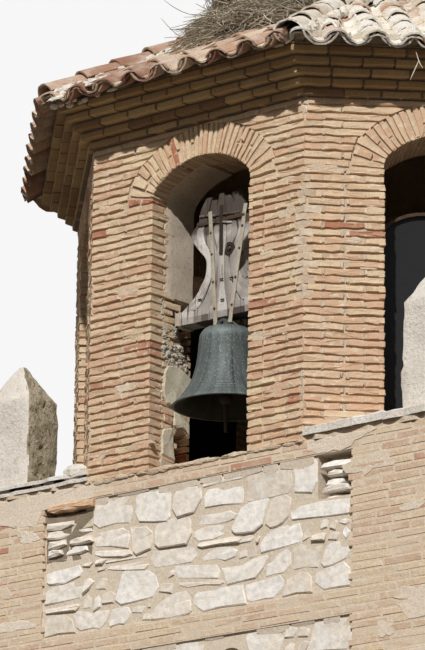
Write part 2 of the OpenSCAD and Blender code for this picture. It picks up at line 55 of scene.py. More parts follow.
# %% Main sizes, in metres
sill_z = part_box("belfry_pier_1")[0].z
spring_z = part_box("belfry_pier_1")[1].z
right_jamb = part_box("belfry_pier_1")[0].x
left_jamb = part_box("belfry_pier_8")[1].x
flat_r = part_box("arch_rings")[1].x
inner_r = -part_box("arch_head_1")[1].y
cornice_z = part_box("cornice")[0].z
roof_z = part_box("cornice")[1].z
cornice_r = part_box("cornice")[1].x
eave_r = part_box("roof_tiles")[1].x
eave_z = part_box("roof_tiles")[0].z
tile_apex_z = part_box("roof_tiles")[1].z
axle = Vector(frame["record"]["behaviour"]["joints"][0]["pos_m"])
sides = 8
half_turn = math.pi / sides
print("belfry", round(2 * flat_r, 3), "m wide, sill at", round(sill_z, 3), "axle at", tuple(axle))

# %% [markdown]
# The camera stands on the ground in front of the right-hand corner and looks up with a long lens.
# Its place was worked out from the arches, the corners and the cornice lines, so its shift stays 0.
# The lens is given for the picture's height, because the frame is upright.

# %% Camera
camera_place = Vector((20.796, -26.966, 1.2))
camera_yaw = math.radians(40.116)
camera_pitch = math.radians(16.243)
camera_roll = math.radians(0.718)
film_height = 24.0
lens = 166.64
view_reach = 400

ahead = Vector((-math.sin(camera_yaw) * math.cos(camera_pitch),
                math.cos(camera_yaw) * math.cos(camera_pitch), math.sin(camera_pitch)))
level = Vector((math.cos(camera_yaw), math.sin(camera_yaw), 0))
upward = level.cross(ahead)
right_hand = math.cos(camera_roll) * level + math.sin(camera_roll) * upward
head_up = -math.sin(camera_roll) * level + math.cos(camera_roll) * upward
camera_data = bpy.data.cameras.new("camera")
camera_data.sensor_fit = "VERTICAL"
camera_data.sensor_height = film_height
camera_data.lens = lens
camera_data.clip_end = view_reach
camera = bpy.data.objects.new("camera", camera_data)
bpy.context.collection.objects.link(camera)
camera.matrix_world = Matrix.Translation(camera_place) @ Matrix(
    (right_hand, head_up, -ahead)).transposed().to_4x4()
bpy.context.scene.camera = camera
print("camera looks along", tuple(round(c, 3) for c in ahead))

# %% [markdown]
# One lamp far away gives the raking light that draws every brick's edge, a little softened, and a
# pale world fills the shade. World and floor are brighter for the camera than for the object, so
# the background is pale and the deep shade under the eave stays deep. Earth-coloured ground gives
# little light back, so the floor does the same, though the camera sees it pale.

# %% Light, world and floor
sun_azimuth = math.radians(28)
sun_height = math.radians(38)
sun_width = math.radians(1.2)
sun_strength = 3.38
fill_strength = 0.19
backdrop_strength = 0.93
sun_colour, fill_colour = (1.0, 0.975, 0.94), (1.0, 0.97, 0.92, 1)

to_sun = Vector((math.sin(sun_azimuth) * math.cos(sun_height),
                 -math.cos(sun_azimuth) * math.cos(sun_height), math.sin(sun_height)))
sun_data = bpy.data.lights.new("sun", "SUN")
sun_data.energy = sun_strength
sun_data.angle = sun_width
sun_data.color = sun_colour
sun = bpy.data.objects.new("sun", sun_data)
sun.rotation_euler = to_sun.to_track_quat("Z", "Y").to_euler()
bpy.context.collection.objects.link(sun)

world = bpy.data.worlds.new("pale_world")
bpy.context.scene.world = world
world.use_nodes = True
world_nodes = world.node_tree.nodes
world_links = world.node_tree.links
fill = world_nodes["Background"]
fill.inputs["Color"].default_value = fill_colour
fill.inputs["Strength"].default_value = fill_strength
seen = world_nodes.new("ShaderNodeBackground")
seen.inputs["Color"].default_value = (1, 1, 1, 1)
seen.inputs["Strength"].default_value = backdrop_strength


def show_to_camera(tree, lighting, shown):
    """Mixes two shaders: camera, glossy and transmission rays meet the second, others the first."""
    light_path = tree.nodes.new("ShaderNodeLightPath")
    mixed = tree.nodes.new("ShaderNodeMixShader")
    seen_rays = light_path.outputs["Is Camera Ray"]
    for ray in ("Is Glossy Ray", "Is Transmission Ray"):
        either = tree.nodes.new("ShaderNodeMath")
        either.operation = "MAXIMUM"
        tree.links.new(seen_rays, either.inputs[0])
        tree.links.new(light_path.outputs[ray], either.inputs[1])
        seen_rays = either.outputs[0]
    for shader_output, socket in zip((seen_rays, lighting, shown), mixed.inputs):
        tree.links.new(shader_output, socket)
    return mixed.outputs[0]


world_links.new(show_to_camera(world.node_tree, fill.outputs[0], seen.outputs[0]),
                world_nodes["World Output"].inputs["Surface"])
bpy.context.scene.view_settings.view_transform = "Standard"


def unit(number):
    """Keeps a number between 0 and 1."""
    return min(max(number, 0.0), 1.0)


def srgb(red, green, blue):
    """Linear colour of an 8-bit one."""
    def linear(c):
        c = c / 255
        return c / 12.92 if c <= 0.04045 else ((c + 0.055) / 1.055) ** 2.4
    return (linear(red), linear(green), linear(blue), 1.0)


# %% [markdown]
# Every finish here is weathered and dry, and most share the same ingredients. Two node groups hold
# them. One gives a rough surface: a fine grain, coarse lumps and soft stains. The other picks a
# colour for each brick, stone or stick from three, by the piece's own tone.

# %% Shader groups that several finishes use
def new_group(name, numbers, colours, outputs):
    group = bpy.data.node_groups.new(name, "ShaderNodeTree")
    for label, value in numbers:
        socket = group.interface.new_socket(label, in_out="INPUT", socket_type="NodeSocketFloat")
        socket.default_value = value
    for label in colours:
        group.interface.new_socket(label, in_out="INPUT", socket_type="NodeSocketColor")
    for label, kind in outputs:
        group.interface.new_socket(label, in_out="OUTPUT", socket_type=kind)
    return group, group.nodes.new("NodeGroupInput"), group.nodes.new("NodeGroupOutput")


def math_node(tree, operation, a, b):
    node = tree.nodes.new("ShaderNodeMath")
    node.operation = operation
    for socket, value in zip(node.inputs, (a, b)):
        if isinstance(value, (int, float)):
            socket.default_value = value
        else:
            tree.links.new(value, socket)
    return node.outputs[0]


def noise_node(tree, place, scale, detail, rough=0.6):
    node = tree.nodes.new("ShaderNodeTexNoise")
    node.inputs["Detail"].default_value = detail
    node.inputs["Roughness"].default_value = rough
    tree.links.new(place, node.inputs["Vector"])
    if isinstance(scale, (int, float)):
        node.inputs["Scale"].default_value = scale
    else:
        tree.links.new(scale, node.inputs["Scale"])
    return node.outputs["Fac"]


def mix_colour(tree, share, first, second):
    node = tree.nodes.new("ShaderNodeMix")
    node.data_type = "RGBA"
    for socket, value in ((node.inputs[0], share), (node.inputs[6], first), (node.inputs[7], second)):
        if isinstance(value, (int, float, tuple)):
            socket.default_value = value
        else:
            tree.links.new(value, socket)
    return node.outputs[2]


def step_between(tree, value, low, high, out_low=0.0, out_high=1.0):
    node = tree.nodes.new("ShaderNodeMapRange")
    node.interpolation_type = "SMOOTHSTEP"
    tree.links.new(value, node.inputs["Value"])
    for label, number in zip(("From Min", "From Max", "To Min", "To Max"),
                             (low, high, out_low, out_high)):
        node.inputs[label].default_value = number
    return node.outputs["Result"]


rough_group, rough_in, rough_out = new_group(
    "rough_surface", [("Grain size", 0.01), ("Lump size", 0.06), ("Stain size", 0.6), ("Fleck size", 0.03)],
    [], [(label, "NodeSocketFloat") for label in ("Height", "Grain", "Stain", "Fleck")])
rough_place = rough_group.nodes.new("ShaderNodeTexCoord").outputs["Object"]
rough_scales = [math_node(rough_group, "DIVIDE", 1.0, rough_in.outputs[k]) for k in range(4)]
rough_grain = noise_node(rough_group, rough_place, rough_scales[0], 3)
rough_lumps = noise_node(rough_group, rough_place, rough_scales[1], 4)
rough_stain = noise_node(rough_group, rough_place, rough_scales[2], 5)
rough_fleck = noise_node(rough_group, rough_place, rough_scales[3], 3, 0.5)
rough_height = math_node(rough_group, "ADD", math_node(rough_group, "MULTIPLY", rough_grain, 0.4),
                         rough_lumps)
rough_group.links.new(rough_height, rough_out.inputs["Height"])
rough_group.links.new(rough_grain, rough_out.inputs["Grain"])
rough_group.links.new(step_between(rough_group, rough_stain, 0.38, 0.66), rough_out.inputs["Stain"])
rough_group.links.new(step_between(rough_group, rough_fleck, 0.56, 0.66), rough_out.inputs["Fleck"])

tone_group, tone_in, tone_out = new_group(
    "tone_colour", [("Grain", 0.5)], ["Dark", "Middle", "Light"], [("Color", "NodeSocketColor")])
tone_value = tone_group.nodes.new("ShaderNodeAttribute")
tone_value.attribute_name = "tone"
tone_low = step_between(tone_group, tone_value.outputs["Fac"], 0.08, 0.32)
tone_high = step_between(tone_group, tone_value.outputs["Fac"], 0.4, 1.0)
tone_mixed = mix_colour(tone_group, tone_high, mix_colour(
    tone_group, tone_low, tone_in.outputs["Dark"], tone_in.outputs["Middle"]), tone_in.outputs["Light"])
grain_light = step_between(tone_group, tone_in.outputs["Grain"], 0.25, 0.75, 0.8, 1.12)
tone_grain = tone_group.nodes.new("ShaderNodeVectorMath")
tone_grain.operation = "SCALE"
tone_group.links.new(tone_mixed, tone_grain.inputs[0])
tone_group.links.new(grain_light, tone_grain.inputs["Scale"])
tone_group.links.new(tone_grain.outputs[0], tone_out.inputs["Color"])
print("groups", [g.name for g in bpy.data.node_groups])


# %% A finish made from the two groups
def place_group(tree, group, **values):
    node = tree.nodes.new("ShaderNodeGroup")
    node.node_tree = group
    for label, value in values.items():
        node.inputs[label.replace("_", " ")].default_value = value
    return node


def weathered(name, dark, middle, light, stain, stain_share=0.5, grain=0.012, lump=0.05,
              patch=0.6, bump=0.006, roughness=0.92, metallic=0.0, fleck=None, fleck_size=0.03,
              fleck_share=0.5):
    """A dry weathered finish: three tones for the single pieces, with stains and flecks over all.

    The colours are 8-bit ones.
    """
    material = bpy.data.materials.new(name)
    material.use_nodes = True
    tree = material.node_tree
    shader = tree.nodes["Principled BSDF"]
    shader.inputs["Roughness"].default_value = roughness
    shader.inputs["Metallic"].default_value = metallic
    shader.inputs["Specular IOR Level"].default_value = 0.25
    rough = place_group(tree, rough_group, Grain_size=grain, Lump_size=lump, Stain_size=patch,
                        Fleck_size=fleck_size)
    tone = place_group(tree, tone_group, Dark=srgb(*dark), Middle=srgb(*middle), Light=srgb(*light))
    tree.links.new(rough.outputs["Grain"], tone.inputs["Grain"])
    share = math_node(tree, "MULTIPLY", rough.outputs["Stain"], stain_share)
    colour = mix_colour(tree, share, tone.outputs["Color"], srgb(*stain))
    if fleck:
        flecked = math_node(tree, "MULTIPLY", rough.outputs["Fleck"], fleck_share)
        colour = mix_colour(tree, flecked, colour, srgb(*fleck))
    tree.links.new(colour, shader.inputs["Base Color"])
    bump_node = tree.nodes.new("ShaderNodeBump")
    bump_node.inputs["Distance"].default_value = bump
    bump_node.inputs["Strength"].default_value = 1.0
    tree.links.new(rough.outputs["Height"], bump_node.inputs["Height"])
    tree.links.new(bump_node.outputs["Normal"], shader.inputs["Normal"])
    return material


brick_finish = weathered("old_brick", (184, 122, 94), (219, 184, 152), (230, 208, 175),
                         (210, 176, 150), 0.45, grain=0.008, lump=0.03, patch=0.9, bump=0.006,
                         fleck=(230, 214, 190), fleck_size=0.05, fleck_share=0.7)
mortar_finish = weathered("lime_mortar", (206, 186, 162), (216, 198, 176),
                          (226, 211, 192), (200, 176, 150), 0.5, bump=0.01)
cornice_finish = weathered("cornice_brick", (142, 112, 86), (184, 152, 114),
                           (206, 178, 134), (146, 122, 90), 0.5, lump=0.04)
cornice_mortar_finish = weathered("cornice_mortar", (126, 112, 96), (150, 136, 117),
                                  (174, 160, 139), (118, 104, 88), 0.5, bump=0.01)
pointing_finish = weathered("flush_pointing", (220, 204, 184), (228, 214, 197),
                            (234, 222, 207), (216, 198, 176), 0.45, bump=0.004)
shaft_brick_finish = weathered("shaft_brick", (192, 140, 116), (210, 180, 154),
                               (222, 201, 172), (218, 199, 176), 0.65, patch=0.4,
                               fleck=(224, 208, 188), fleck_size=0.05, fleck_share=0.85)
stone_finish = weathered("white_limestone", (222, 211, 196), (235, 227, 216),
                         (243, 239, 234), (228, 216, 200), 0.4, grain=0.05, lump=0.11,
                         patch=0.3, bump=0.009, fleck=(232, 236, 240), fleck_size=0.14, fleck_share=0.3)
panel_mortar_finish = weathered("panel_mortar", (218, 204, 184), (231, 219, 202),
                                (239, 230, 217), (224, 210, 192), 0.4, grain=0.02, lump=0.05, bump=0.005)
print(len(bpy.data.materials), "finishes")

# %% [markdown]
# A brick wall is thousands of small blocks, and each needs its own place, tone and wear. They are
# gathered first as numbers, one row a block, and turned into one mesh at the end, which is far
# quicker than an object for each. A block's front is a quadrilateral on a wall face, so the same
# helper lays level courses, the slanted ends beside an arch and the wedge bricks round it.

# %% Helper that gathers blocks and stones into one mesh
class Face:
    """A flat side to lay on: a point on it, the way along, the way up and the way out."""

    def __init__(self, start, along, up, out):
        self.start, self.along = np.array(start, float), np.array(along, float)
        self.up, self.out = np.array(up, float), np.array(out, float)

    def at(self, u, v, w=0.0):
        return self.start + u * self.along + v * self.up + w * self.out


def split_edges(points, step):
    """Adds points along an outline, so that a long edge can wear unevenly."""
    after = np.roll(points, -1, 0)
    counts = np.maximum(1, np.round(np.linalg.norm(after - points, axis=1) / step)).astype(int)
    return np.concatenate([here + (there - here) * (np.arange(n) / n)[:, None]
                           for here, there, n in zip(points, after, counts)])


def oblong(u0, u1, z0, z1, sag=(0, 0, 0, 0)):
    """Corners of an oblong, each moved up by its sag."""
    return [(u0, z0 + sag[0]), (u1, z0 + sag[1]), (u1, z1 + sag[2]), (u0, z1 + sag[3])]


def plain_mesh(name, verts, faces):
    mesh = bpy.data.meshes.new(name)
    mesh.from_pydata(verts, [], faces)
    return mesh


def toned_mesh(name, verts, faces, tones, sharp=None):
    """A mesh with a tone for each face; with sharp it is smooth up to that angle in degrees."""
    mesh = plain_mesh(name, np.asarray(verts).tolist(), faces)
    attribute = mesh.attributes.new("tone", "FLOAT", "FACE")
    attribute.data.foreach_set("value", np.array(tones, np.float32))
    if sharp:
        mesh.polygons.foreach_set("use_smooth", [True] * len(mesh.polygons))
        mesh.set_sharp_from_angle(angle=math.radians(sharp))
    return mesh


class Gathered:
    """Bodies gathered into one mesh, with a tone for each face."""

    def __init__(self, seed):
        self.rng = np.random.default_rng(seed)
        self.verts, self.faces, self.tones = [], [], []

    def shade(self, tone, count):
        """Gives the last faces a tone, or a random one where tone is None."""
        self.tones += [self.rng.random() if tone is None else tone] * count

    def mesh(self, name, sharp=None):
        return toned_mesh(name, self.verts, self.faces, self.tones, sharp)


class Blocks:
    """Worn blocks: each is an outline on a face, raised to a bevelled front, with a tone."""

    edge_step = 0.075

    def __init__(self, seed, bevel=0.004, wear=0.0025):
        self.rng = np.random.default_rng(seed)
        self.bevel, self.wear = bevel, wear
        self.parts = []
        self.tones = []

    def lay(self, face, outline, proud=0.01, depth=0.05, tone=None, halves=True, bevel=None,
            lean=(0.0, 0.0)):
        """outline: corners (u, v) in turn; halves splits its long edges; lean tips the front."""
        points = np.array(outline, float)
        if halves:
            points = split_edges(points, self.edge_step)
        count = len(points)
        wear = self.rng.normal(0, self.wear, (count, 2)).clip(-2 * self.wear, 2 * self.wear)
        edge = points + wear
        middle = (edge.min(0) + edge.max(0)) / 2
        inset = bevel or self.bevel
        inner = middle + (edge - middle) * (1 - np.minimum(2 * inset / np.ptp(edge, axis=0), 0.4))
        front = proud + (edge - middle) @ np.array(lean)
        high = front + self.rng.normal(0, self.wear * 0.7, count)
        rings = [(edge, np.full(count, -depth)), (edge, front - inset * 0.8),
                 (inner, high), (middle[None, :], np.array([proud]))]
        verts = np.concatenate([face.start + flat[:, :1] * face.along + flat[:, 1:] * face.up
                                + level[:, None] * face.out for flat, level in rings])
        self.parts.append((count, verts))
        self.tones.append(self.rng.random() if tone is None else tone)

    def mesh(self, name):
        verts, faces, tones, start = [], [], [], 0
        for (count, block), tone in zip(self.parts, self.tones):
            ring = np.arange(count)
            after = (ring + 1) % count
            for level in (0, 1):
                low, high = start + level * count, start + (level + 1) * count
                faces += np.stack([low + ring, low + after, high + after, high + ring], 1).tolist()
            top, centre = start + 2 * count, start + 3 * count
            faces += [(top + a, top + b, centre) for a, b in zip(ring.tolist(), after.tolist())]
            tones += [tone] * (3 * count)
            verts.append(block)
            start += 3 * count + 1
        return toned_mesh(name, np.concatenate(verts), faces, tones)


def finish_nodes(names, finish):
    """Gives a finish to nodes of the frame that stay in the scene as they are."""
    for node_name in names:
        materials = frame["nodes"][node_name].data.materials
        materials.clear()
        materials.append(finish)
    print(finish.name, "on", len(names), "nodes")


def place_piece(mesh, material, body="tower", stands_for=()):
    """Puts a mesh in the scene as a piece that rides on a body of the frame."""
    piece = bpy.data.objects.new(mesh.name, mesh)
    bpy.context.collection.objects.link(piece)
    mesh.materials.clear()
    mesh.materials.append(material)
    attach(piece, body)
    if stands_for:
        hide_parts(*stands_for)
    triangles = sum(len(p.vertices) - 2 for p in mesh.polygons)
    print(mesh.name, triangles, "triangles")
    return piece


# %% [markdown]
# The belfry has eight like sides, so each side is laid in the same local frame and turned to its
# place. Its bricks are thin, about 30 cm by 4 cm, with 2 cm of joint, so a course takes 6 cm. At the
# corners and jambs long and short ends alternate from course to course, as a bricklayer would do to
# tie the two faces together.

# %% Faces and courses of the belfry
course_count = 44
course = (cornice_z - sill_z) / course_count
joint = 0.018
stretcher = 0.29
corner_u = flat_r * math.tan(half_turn)
inner_corner_u = inner_r * math.tan(half_turn)
quoin_long, quoin_short = 0.27, 0.13


def quoin_ends(course_number):
    """Lengths of the left and right end bricks, which change places from course to course."""
    return (quoin_long, quoin_short) if course_number % 2 else (quoin_short, quoin_long)


def side_axes(i):
    """Ways along and out of side i of the octagon; a half counts on to the next corner."""
    turn = i * 2 * half_turn
    along = (math.cos(turn), math.sin(turn), 0)
    out = (math.sin(turn), -math.cos(turn), 0)
    return np.array(along), np.array(out)


def side_face(i, distance=flat_r):
    along, out = side_axes(i)
    return Face(out * distance, along, (0, 0, 1), out)


def back_face(i):
    along, out = side_axes(i)
    return Face(out * inner_r, along, (0, 0, 1), -out)


def reveal_face(i, jamb, towards):
    """The side of an opening: u runs from the outside in, and out is towards its middle."""
    along, out = side_axes(i)
    return Face(out * flat_r + along * jamb, -out, (0, 0, 1), along * towards)


def run_of_bricks(rng, start, end, length=stretcher, spread=0.06):
    """Splits a stretch of a course into bricks: pairs of ends."""
    if end - start < 0.04:
        return []
    count = max(1, round((end - start + joint) / (length + joint)))
    cuts = np.linspace(start, end + joint, count + 1)
    cuts[1:-1] += rng.uniform(-spread, spread, count - 1)
    return [(cuts[k], cuts[k + 1] - joint) for k in range(count)]


def brick_tone(rng, pink=0.3):
    """Mostly sandy, a share of them pinkish, now and then a red one."""
    if rng.random() < 0.035:
        return rng.uniform(0.0, 0.16)
    return rng.uniform(0.28, 0.55) if rng.random() < pink else rng.uniform(0.6, 1.0)


worn_corner, worn_low, worn_high = 1, 10.55, 11.5


def corner_wear(corner, z):
    """How far the brick ends have gone at a corner of the octagon, and mortar has taken their place."""
    wear = 0.06 * noise.noise((corner * 5.3, 0.0, z * 2.6)) - 0.005
    if corner == worn_corner and worn_low < z < worn_high:
        wear = 0.05 + 0.06 * noise.noise((3.1, 0.0, z * 7.0))
    return max(wear, 0.0)


print("courses of", round(course * 1000, 1), "mm")

# %% [markdown]
# The openings are basket arches: a flat arc in the middle and a tight one at each end. The ring
# bricks stand square to that curve, so the same three-arc formula as in the solid gives both the
# soffit line and the line where the level courses have to stop.

# %% Basket arch
arch_half = (right_jamb - left_jamb) / 2
arch_middle = (right_jamb + left_jamb) / 2
arch_rise = 0.285
haunch_r = 0.17
ring_depth = 0.24
crown_r = (arch_half ** 2 - 2 * arch_half * haunch_r + arch_rise ** 2) / (2 * (arch_rise - haunch_r))
meet = math.atan2(crown_r - arch_rise, arch_half - haunch_r)
haunch_length = haunch_r * meet
crown_length = crown_r * (math.pi - 2 * meet)
arch_length = 2 * haunch_length + crown_length


def on_arch(s, out=0.0):
    """Point at length s along the soffit line from the right springing, moved outwards."""
    if s < haunch_length:
        t = s / haunch_r
        centre, radius = (arch_half - haunch_r, 0.0), haunch_r
    elif s > haunch_length + crown_length:
        t = math.pi - (arch_length - s) / haunch_r
        centre, radius = (-(arch_half - haunch_r), 0.0), haunch_r
    else:
        t = meet + (s - haunch_length) / crown_r
        centre, radius = (0.0, arch_rise - crown_r), crown_r
    return (arch_middle + centre[0] + (radius + out) * math.cos(t),
            spring_z + centre[1] + (radius + out) * math.sin(t), t)


def ring_edges(height):
    """Where the ring of bricks ends at a height, to the left and to the right."""
    reach, samples = [0.0, 0.0], 60
    for k in range(samples + 1):
        u, z, _ = on_arch(arch_length * k / samples, ring_depth)
        if z - spring_z >= height - spring_z:
            reach[int(u > arch_middle)] = max(reach[int(u > arch_middle)], abs(u - arch_middle))
    return arch_middle - reach[0], arch_middle + reach[1]


print("arch", round(arch_length, 3), "m long, crown radius", round(crown_r, 3))

# %% Level courses of the belfry's outer faces and jambs
belfry = Blocks(11, wear=0.0036)
joint_mortar = Blocks(12, wear=0.004)
plaster_start = 0.15
brick_proud = 0.016
jamb_long, jamb_short, reveal_length = 0.25, 0.12, 0.14
thin_smears_each = 12


def fill_joint(face, start, end, low, high, proud):
    """Mortar between two brick ends, smeared a little over both and almost flush with them."""
    rng = joint_mortar.rng
    spread = rng.uniform(0.0, 0.008)
    joint_mortar.lay(face, oblong(start - spread, end + spread, low, high),
                     proud - rng.uniform(-0.001, 0.004), 0.03, halves=False)


def ragged_patch(rng, u, z, wide, tall, points=18):
    """Outline of a smear of mortar round (u, z)."""
    seed = rng.uniform(0, 99)
    turns = np.linspace(0, 2 * math.pi, points + 1)[:-1]
    reach = [1 + 0.9 * noise.noise((1.7 * math.cos(a), 1.7 * math.sin(a), seed)) for a in turns]
    return [(u + wide * r * math.cos(a), z + tall * r * math.sin(a)) for r, a in zip(reach, turns)]


for i in range(sides):
    face = side_face(i)
    for c in range(course_count):
        z0 = sill_z + c * course + joint * 0.5
        z1 = z0 + course - joint
        rng = belfry.rng
        pink = 0.55 if z0 < sill_z + 1.1 else 0.22
        corner_proud = brick_proud + rng.uniform(-0.003, 0.004)
        left_end, right_end = quoin_ends(c + i)
        mitre = math.tan(half_turn) * corner_proud
        sag = rng.normal(0, 0.002, 4)
        gone = [corner_wear((i + k) % sides, z0) * rng.uniform(0.2, 1.9) for k in (0, 1)]
        reach = [corner_u - lost if lost else corner_u + mitre for lost in gone]
        corner_ends = ((-reach[0], -corner_u + left_end), (corner_u - right_end, reach[1]))
        for u0, u1 in corner_ends:
            if u1 - u0 > 0.05:
                belfry.lay(face, oblong(u0, u1, z0, z1, (0, sag[0], sag[1], 0)), corner_proud, 0.05,
                           brick_tone(rng, pink))
        for lost, (u0, u1) in zip(gone, ((-corner_u - 0.006, corner_ends[0][0] + 0.01),
                                         (corner_ends[1][1] - 0.01, corner_u + 0.006))):
            if lost:
                rough_end = rng.uniform(-0.012, 0.012, 4)
                joint_mortar.lay(
                    face, oblong(u0, u1, z0 - joint / 2, z1 + joint / 2, rough_end * (0.5, 1, 1, 0.5)),
                    0.009 + rng.uniform(-0.005, 0.005), 0.03, lean=rng.uniform(-0.12, 0.12, 2))
        for start in (-corner_u + left_end, corner_u - right_end - joint):
            fill_joint(face, start, start + joint, z0, z1, corner_proud)
        if z0 < spring_z:
            front, back = (jamb_short, jamb_long) if c % 2 else (jamb_long, jamb_short)
            stops = ((-corner_u + left_end + joint, left_jamb - front - joint),
                     (right_jamb + front + joint, corner_u - right_end - joint))
            for jamb, towards in ((left_jamb, 1), (right_jamb, -1)):
                tone = brick_tone(rng, pink)
                out = 0.009 + rng.uniform(-0.003, 0.006)
                face_out = brick_proud + rng.uniform(-0.003, 0.006)
                u0, u1 = sorted((jamb + towards * out, jamb - towards * front))
                belfry.lay(face, oblong(u0, u1, z0, z1), face_out, 0.05, tone)
                reveal = reveal_face(i, jamb, towards)
                turns = [(-face_out, back)]
                turns += run_of_bricks(rng, back + joint, flat_r - inner_r, reveal_length)
                for d0, d1 in turns:
                    if i == 0 and d0 > plaster_start:
                        continue
                    belfry.lay(reveal, oblong(d0, d1, z0, z1), out, 0.03,
                               tone if d0 < 0 else brick_tone(rng), halves=False)
        else:
            (left, right), (left_above, right_above) = ring_edges(z0), ring_edges(z1)
            for a, b, slant in ((-corner_u + left_end + joint, left - joint, left_above - left),
                                (right + joint, corner_u - right_end - joint, right_above - right)):
                bricks = run_of_bricks(rng, a, b)
                for k, (u0, u1) in enumerate(bricks):
                    top0 = u0 + (slant if slant < 0 and k == 0 else 0)
                    top1 = u1 + (slant if slant > 0 and k == len(bricks) - 1 else 0)
                    belfry.lay(face, [(u0, z0), (u1, z0), (top1, z1), (top0, z1)],
                               brick_proud + rng.uniform(-0.005, 0.004), 0.05, brick_tone(rng, pink))
                    if k:
                        fill_joint(face, u0 - joint, u0, z0, z1, brick_proud)
            stops = ()
        for a, b in stops:
            fill_joint(face, b, b + joint, z0, z1, brick_proud)
            for k, (u0, u1) in enumerate(run_of_bricks(rng, a, b)):
                sag = rng.normal(0, 0.003, 4)
                belfry.lay(face, oblong(u0, u1, z0, z1, sag),
                           brick_proud + rng.uniform(-0.004, 0.003), 0.05, brick_tone(rng, pink))
                if k:
                    fill_joint(face, u0 - joint, u0, z0, z1, brick_proud)

thin_smears = Blocks(13, bevel=0.005, wear=0.0012)
rng = thin_smears.rng
for i in range(sides):
    for n in range(thin_smears_each):
        way = 1 if n % 2 else -1
        near = (right_jamb if way > 0 else -left_jamb) + 0.06
        place = way * rng.uniform(near, corner_u - 0.1), rng.uniform(sill_z + 0.1, cornice_z - 0.15)
        outline = ragged_patch(rng, *place, rng.uniform(0.04, 0.13), rng.uniform(0.02, 0.045))
        thin_smears.lay(side_face(i), outline, brick_proud - 0.001, 0.03, halves=False)
place_piece(thin_smears.mesh("thin_smears"), mortar_finish)
place_piece(belfry.mesh("belfry_bricks"), brick_finish)
place_piece(joint_mortar.mesh("joint_mortar"), mortar_finish)

# %% Ring bricks of the arches, on the faces and under the soffit
rings = Blocks(13, wear=0.0032)
ring_count = 31
soffit_rows = 2
broken_share = 0.3
for i in range(sides):
    face, inside = side_face(i), back_face(i)
    along, out_way = side_axes(i)
    rng = rings.rng
    widths = rng.uniform(0.85, 1.15, ring_count)
    ends = np.concatenate([[0], np.cumsum(widths)]) / widths.sum() * arch_length
    for k in range(ring_count):
        s0, s1 = ends[k] + joint * 0.4, ends[k + 1] - joint * 0.4
        tone = 0.04 if (i, k) == (0, ring_count - 1) else brick_tone(rng)
        cut = ring_depth * rng.uniform(0.4, 0.6) if rng.random() < broken_share else ring_depth
        pieces = [(0.0, cut)] if cut == ring_depth else [(0.0, cut - joint), (cut, ring_depth)]
        for low, high in pieces:
            spread = rng.uniform(-0.012, 0.004) if high == ring_depth else 0.0
            corners = [on_arch(s0, low)[:2], on_arch(s1, low)[:2], on_arch(s1, high + spread)[:2],
                       on_arch(s0, high + spread)[:2]]
            rings.lay(face, corners[::-1], brick_proud + rng.uniform(-0.006, 0.006), 0.05, tone)
            rings.lay(inside, corners, 0.010, 0.05, tone, halves=False)
        mid_u, mid_z, t = on_arch((s0 + s1) / 2)
        slope = along * -math.sin(t) + np.array((0, 0, math.cos(t)))
        inward = -(along * math.cos(t) + np.array((0, 0, math.sin(t))))
        start = out_way * flat_r + along * mid_u + np.array((0, 0, mid_z))
        soffit = Face(start, -out_way, slope, inward)
        half = (s1 - s0) / 2
        span = (flat_r - inner_r) / soffit_rows
        for row in range(soffit_rows):
            d0, d1 = row * span + (-0.014 if row == 0 else joint / 2), (row + 1) * span - joint / 2
            rings.lay(soffit, oblong(d0, d1, -half, half), 0.006, 0.02,
                      tone if row == 0 else brick_tone(rng), halves=False)
place_piece(rings.mesh("arch_ring_bricks"), brick_finish)

# %% Inner faces of the belfry
inside_bricks = Blocks(14)
for i in range(sides):
    face = back_face(i)
    rng = inside_bricks.rng
    for c in range(course_count):
        z0 = sill_z + c * course + joint * 0.5
        z1 = z0 + course - joint
        if z0 < spring_z:
            stretches = ((-inner_corner_u, left_jamb), (right_jamb, inner_corner_u))
        else:
            left, right = ring_edges(z0)
            stretches = ((-inner_corner_u, left - joint), (right + joint, inner_corner_u))
        for a, b in stretches:
            for u0, u1 in run_of_bricks(rng, a, b):
                inside_bricks.lay(face, oblong(u1, u0, z0, z1), 0.008, 0.03, brick_tone(rng),
                                  halves=False)
place_piece(inside_bricks.mesh("belfry_inside_bricks"), brick_finish)

# %% [markdown]
# The square shaft has brick corners and bands round seven panels of white rubble on each side. Its
# joints are pointed almost flush, so the bricks stand out by only a few millimetres. The corner
# bricks end in teeth against the rubble, every other course a little longer.

# %% Lines of the shaft's courses and panels
shaft_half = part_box("shaft_wall_front")[1].x
panel_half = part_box("rubble_front")[1].x
panel_rows, panel_height, band_height, top_band = 7, 1.015, 0.19, 0.12
panel_tops = [sill_z - top_band - k * (panel_height + band_height) for k in range(panel_rows)]
door_half, door_height, door_margin = 0.45, 2.1, 0.33
slit_half, slit_middle, slit_top, slit_low = 0.13, 0.35, 8.075, 7.375
band_courses, panel_courses = 3, 17


def shaft_courses():
    """(low, high, in a panel) of each course, from the top down."""
    rows = []
    z = sill_z
    for _ in range(2):
        rows.append((z - top_band / 2, z, False))
        z -= top_band / 2
    step = (panel_height + band_height) / (panel_courses + band_courses)
    for _ in range(panel_rows):
        for k in range(panel_courses + band_courses):
            rows.append((z - step, z, k < panel_courses))
            z -= step
    base_count = round(z / step)
    for k in range(base_count):
        rows.append((z * (base_count - k - 1) / base_count, z * (base_count - k) / base_count, False))
    return rows


def shaft_face(q):
    """The shaft's sides lie along every second side of the belfry."""
    return side_face(2 * q, shaft_half)


def level_face(z, q=0):
    """A level face at a height, turned with side q of the shaft."""
    along, out = side_axes(2 * q)
    return Face((0, 0, z), along, -out, (0, 0, 1))


side_names = ["front", "right", "back", "left"]
course_rows = shaft_courses()
print(len(course_rows), "courses on the shaft")

